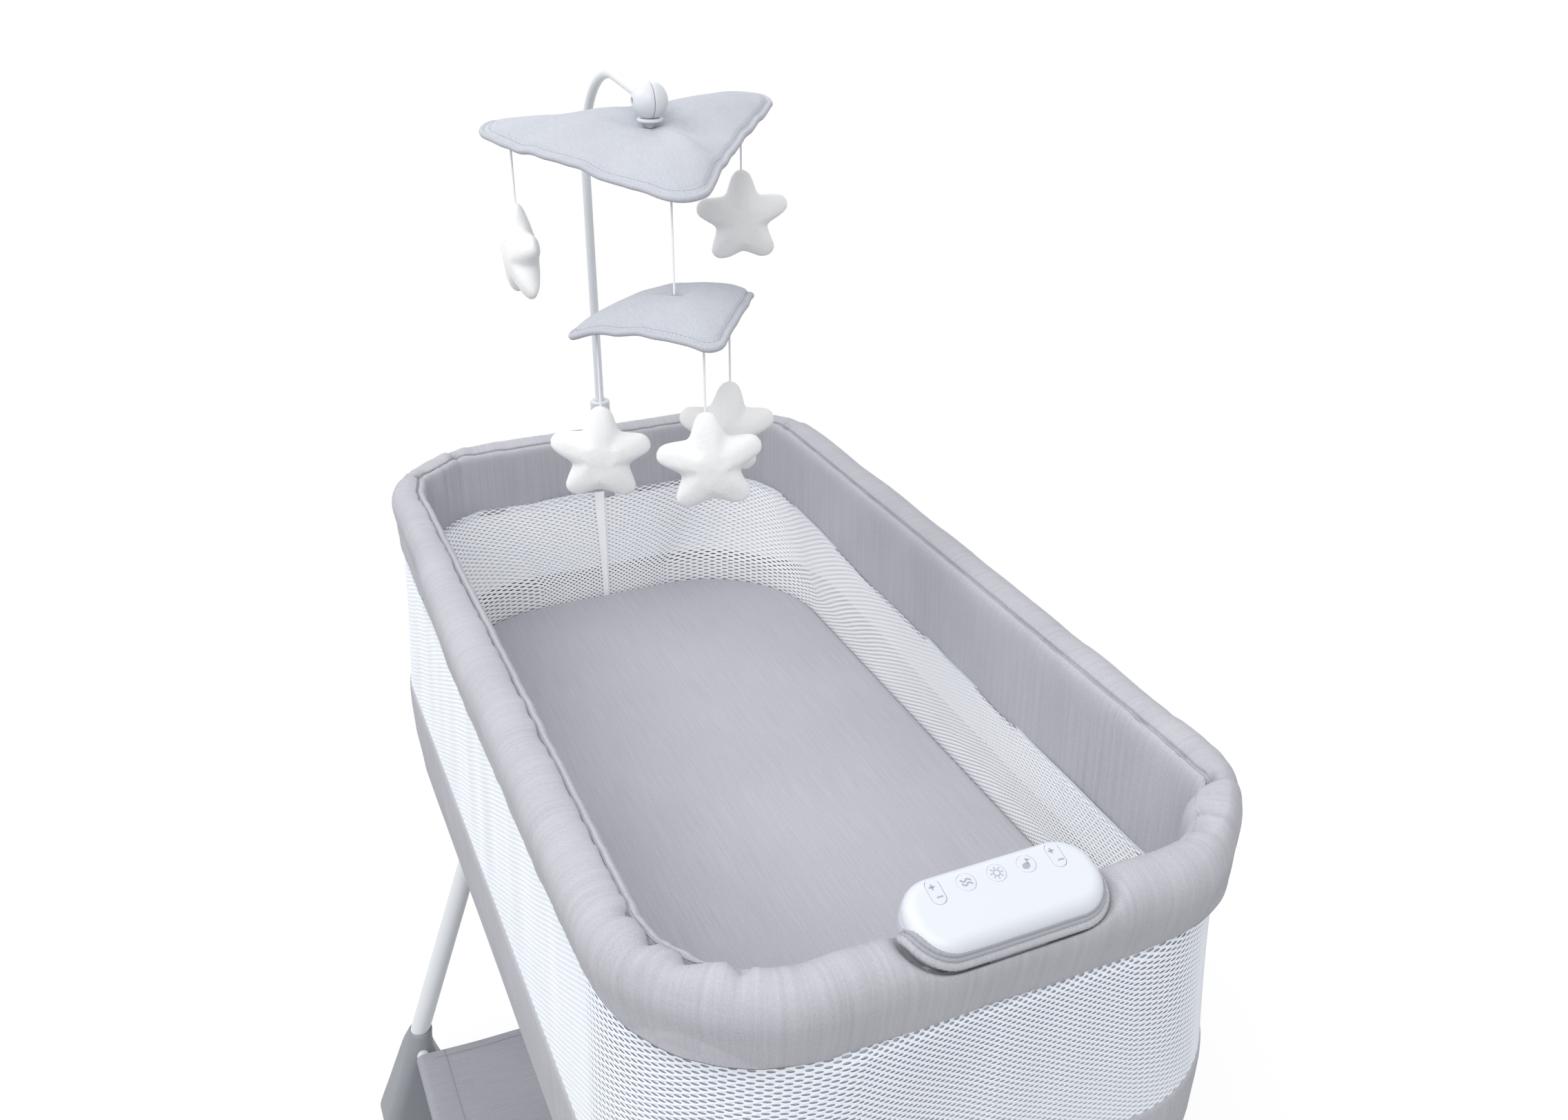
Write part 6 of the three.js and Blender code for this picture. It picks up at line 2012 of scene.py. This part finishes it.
def ribbon(points, width):
    """A flat band along a line."""
    points = np.asarray(points, float)
    ahead = np.gradient(points, axis=0)
    ahead /= np.linalg.norm(ahead, axis=1)[:, None]
    side = np.stack([-ahead[:, 1], ahead[:, 0]], 1) * width / 2
    return np.concatenate([points + side, (points - side)[::-1]])


def plus_and_minus(x, y, lean):
    plus_x, plus_y = x - lean, y + 0.0036
    return [("plus_a", [bar(plus_x, plus_y, 0.0042, 0.0011)]),
            ("plus_b", [bar(plus_x, plus_y, 0.0011, 0.0042)]),
            ("minus", [bar(x + lean, y - 0.0043, 0.0044, 0.0011)])]


def sun(x, y):
    rays = [bar(x + 0.0038 * math.cos(a), y + 0.0038 * math.sin(a), 0.0017, 0.0007, a)
            for a in np.arange(8) * math.pi / 4]
    ring = [(x + 0.0022 * math.cos(a), y + 0.0022 * math.sin(a)) for a in np.linspace(0, 6.2, 40)]
    return [ribbon(ring, 0.0007)] + rays


def note(x, y):
    stem = [(x + 0.0014, y - 0.0008), (x + 0.0013, y + 0.0012), (x + 0.0010, y + 0.0034)]
    flag = [(x + 0.0008, y + 0.0034), (x + 0.0022, y + 0.0026), (x + 0.0034, y + 0.0024)]
    return [oval(x - 0.0008, y - 0.0014, 0.0030, 0.0023, 0.25), ribbon(stem, 0.0010), ribbon(flag, 0.0011)]


def waves(x, y):
    across = np.linspace(-0.0038, 0.0038, 24)
    lines = [[(x + s, y + lift + 0.0008 * math.sin(s * 1150)) for s in across] for lift in (-0.0014, 0.0014)]
    return [ribbon(line, 0.0012) for line in lines]


def icons(node, x):
    """The plain control symbols of one key, as named lists of flat outlines."""
    y = BUTTON_ROW
    if node.startswith("rocker"):
        return plus_and_minus(x, y, 0.0010 if node == "rocker_left" else 0.0016)
    if node == "light_button":
        return [("sun", sun(x, y))]
    if node == "music_button":
        return [("note", note(x, y))]
    return [("waves", waves(x, y))]


def flat_mark(name, outlines):
    """Printed outlines standing a hair above the key."""
    sunk, proud = KEY_TOP - 0.0002, KEY_TOP + 0.00012
    mesh = bpy.data.meshes.new(name)
    with edited(mesh) as shape:
        for outline in outlines:
            low = [shape.verts.new(Vector(p)) for p in pod_loop(outline, sunk)]
            high = [shape.verts.new(Vector(p)) for p in pod_loop(outline, proud)]
            shape.faces.new(high)
            shape.faces.new(low[::-1])
            for k in range(len(low)):
                n = (k + 1) % len(low)
                shape.faces.new((low[k], low[n], high[n], high[k]))
    mesh.uv_layers.new(name="UVMap")
    return link(name, mesh, PRINT)


make_cover()
make_tray()
make_keys()


# ------------------------------------------------------------------ CAD nodes that stay
def finish_nodes():
    kept = {"mattress_board": BOARD, "hub_screw": STEEL, "circuit_board": CIRCUIT, "battery_pack": CELLS,
            "speaker": CONE}
    for node, material in kept.items():
        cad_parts[node].data.materials.clear()
        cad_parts[node].data.materials.append(material)


finish_nodes()


# ------------------------------------------------------------------ floor, world, lamps
def seen_ray(r, *kinds):
    """1 on rays of these kinds, which show the backdrop, and 0 on rays that carry light."""
    path = r.node("ShaderNodeLightPath")
    seen = path.outputs[kinds[0]]
    for kind in kinds[1:]:
        seen = r.math("MAXIMUM", seen, path.outputs[kind])
    return seen


def make_floor():
    """A grey floor that keeps the shadow under the stand and fades to white round it."""
    size, fade_from, fade_over, glow_near = 14, 0.55, 0.7, 0.74
    mesh = bpy.data.meshes.new("floor")
    corners = [(-size, -size, 0), (size, -size, 0), (size, size, 0), (-size, size, 0)]
    mesh.from_pydata(corners, [], [(0, 1, 2, 3)])
    r = start_material("studio_floor")
    seen = seen_ray(r, "Is Camera Ray", "Is Glossy Ray", "Is Transmission Ray")
    away = r.node("ShaderNodeVectorMath", {0: r.place()}, operation="LENGTH").outputs["Value"]
    fade = r.math("DIVIDE", r.math("SUBTRACT", away, fade_from), fade_over, clamp=True)
    share = r.math("ADD", glow_near, r.math("MULTIPLY", fade, 1 - glow_near))
    glow = r.node("ShaderNodeEmission", {"Color": (1, 1, 1, 1), "Strength": 1.0})
    r.mix_shaders(r.math("MULTIPLY", seen, share), r.tree.nodes["Principled BSDF"], glow)
    grey_as_light = r.blend(seen, (0.40, 0.40, 0.41, 1), (1, 1, 1, 1))
    r.finish(Base_Color=grey_as_light, Roughness=0.9, Specular_IOR_Level=0.0)
    floor = link("floor", mesh, r.owner)
    floor.location.z = cad_low.z - 0.0005


def make_world():
    """White where it is seen, and a little dimmer and cooler as a light."""
    world = bpy.data.worlds.new("studio")
    bpy.context.scene.world = world
    r = Recipe(world)
    light = r.node("ShaderNodeBackground", {"Color": (0.97, 0.985, 1.0, 1), "Strength": 0.88})
    white = r.node("ShaderNodeBackground", {"Color": (1, 1, 1, 1), "Strength": 1.0})
    r.mix_shaders(seen_ray(r, "Is Camera Ray", "Is Glossy Ray"), light, white)


def make_lamp(name, at, target, size, energy):
    data = bpy.data.lights.new(name, "AREA")
    data.shape = "RECTANGLE"
    data.size, data.size_y = size
    data.energy = energy
    lamp = bpy.data.objects.new(name, data)
    bpy.context.scene.collection.objects.link(lamp)
    lamp.location = at
    lamp.rotation_euler = (Vector(target) - Vector(at)).to_track_quat("-Z", "Y").to_euler()


make_floor()
make_world()
make_lamp("key", (-1.9, 0.7, 3.0), (0, 0, 0.7), (2.2, 2.2), 36)
make_lamp("front", (-1.3, -2.3, 2.9), (0, 0, 0.8), (2.2, 2.2), 42)
make_lamp("back", (0.6, 2.6, 2.8), (0, 0, 0.8), (2.4, 1.6), 12)

bpy.context.scene.view_settings.view_transform = "Standard"
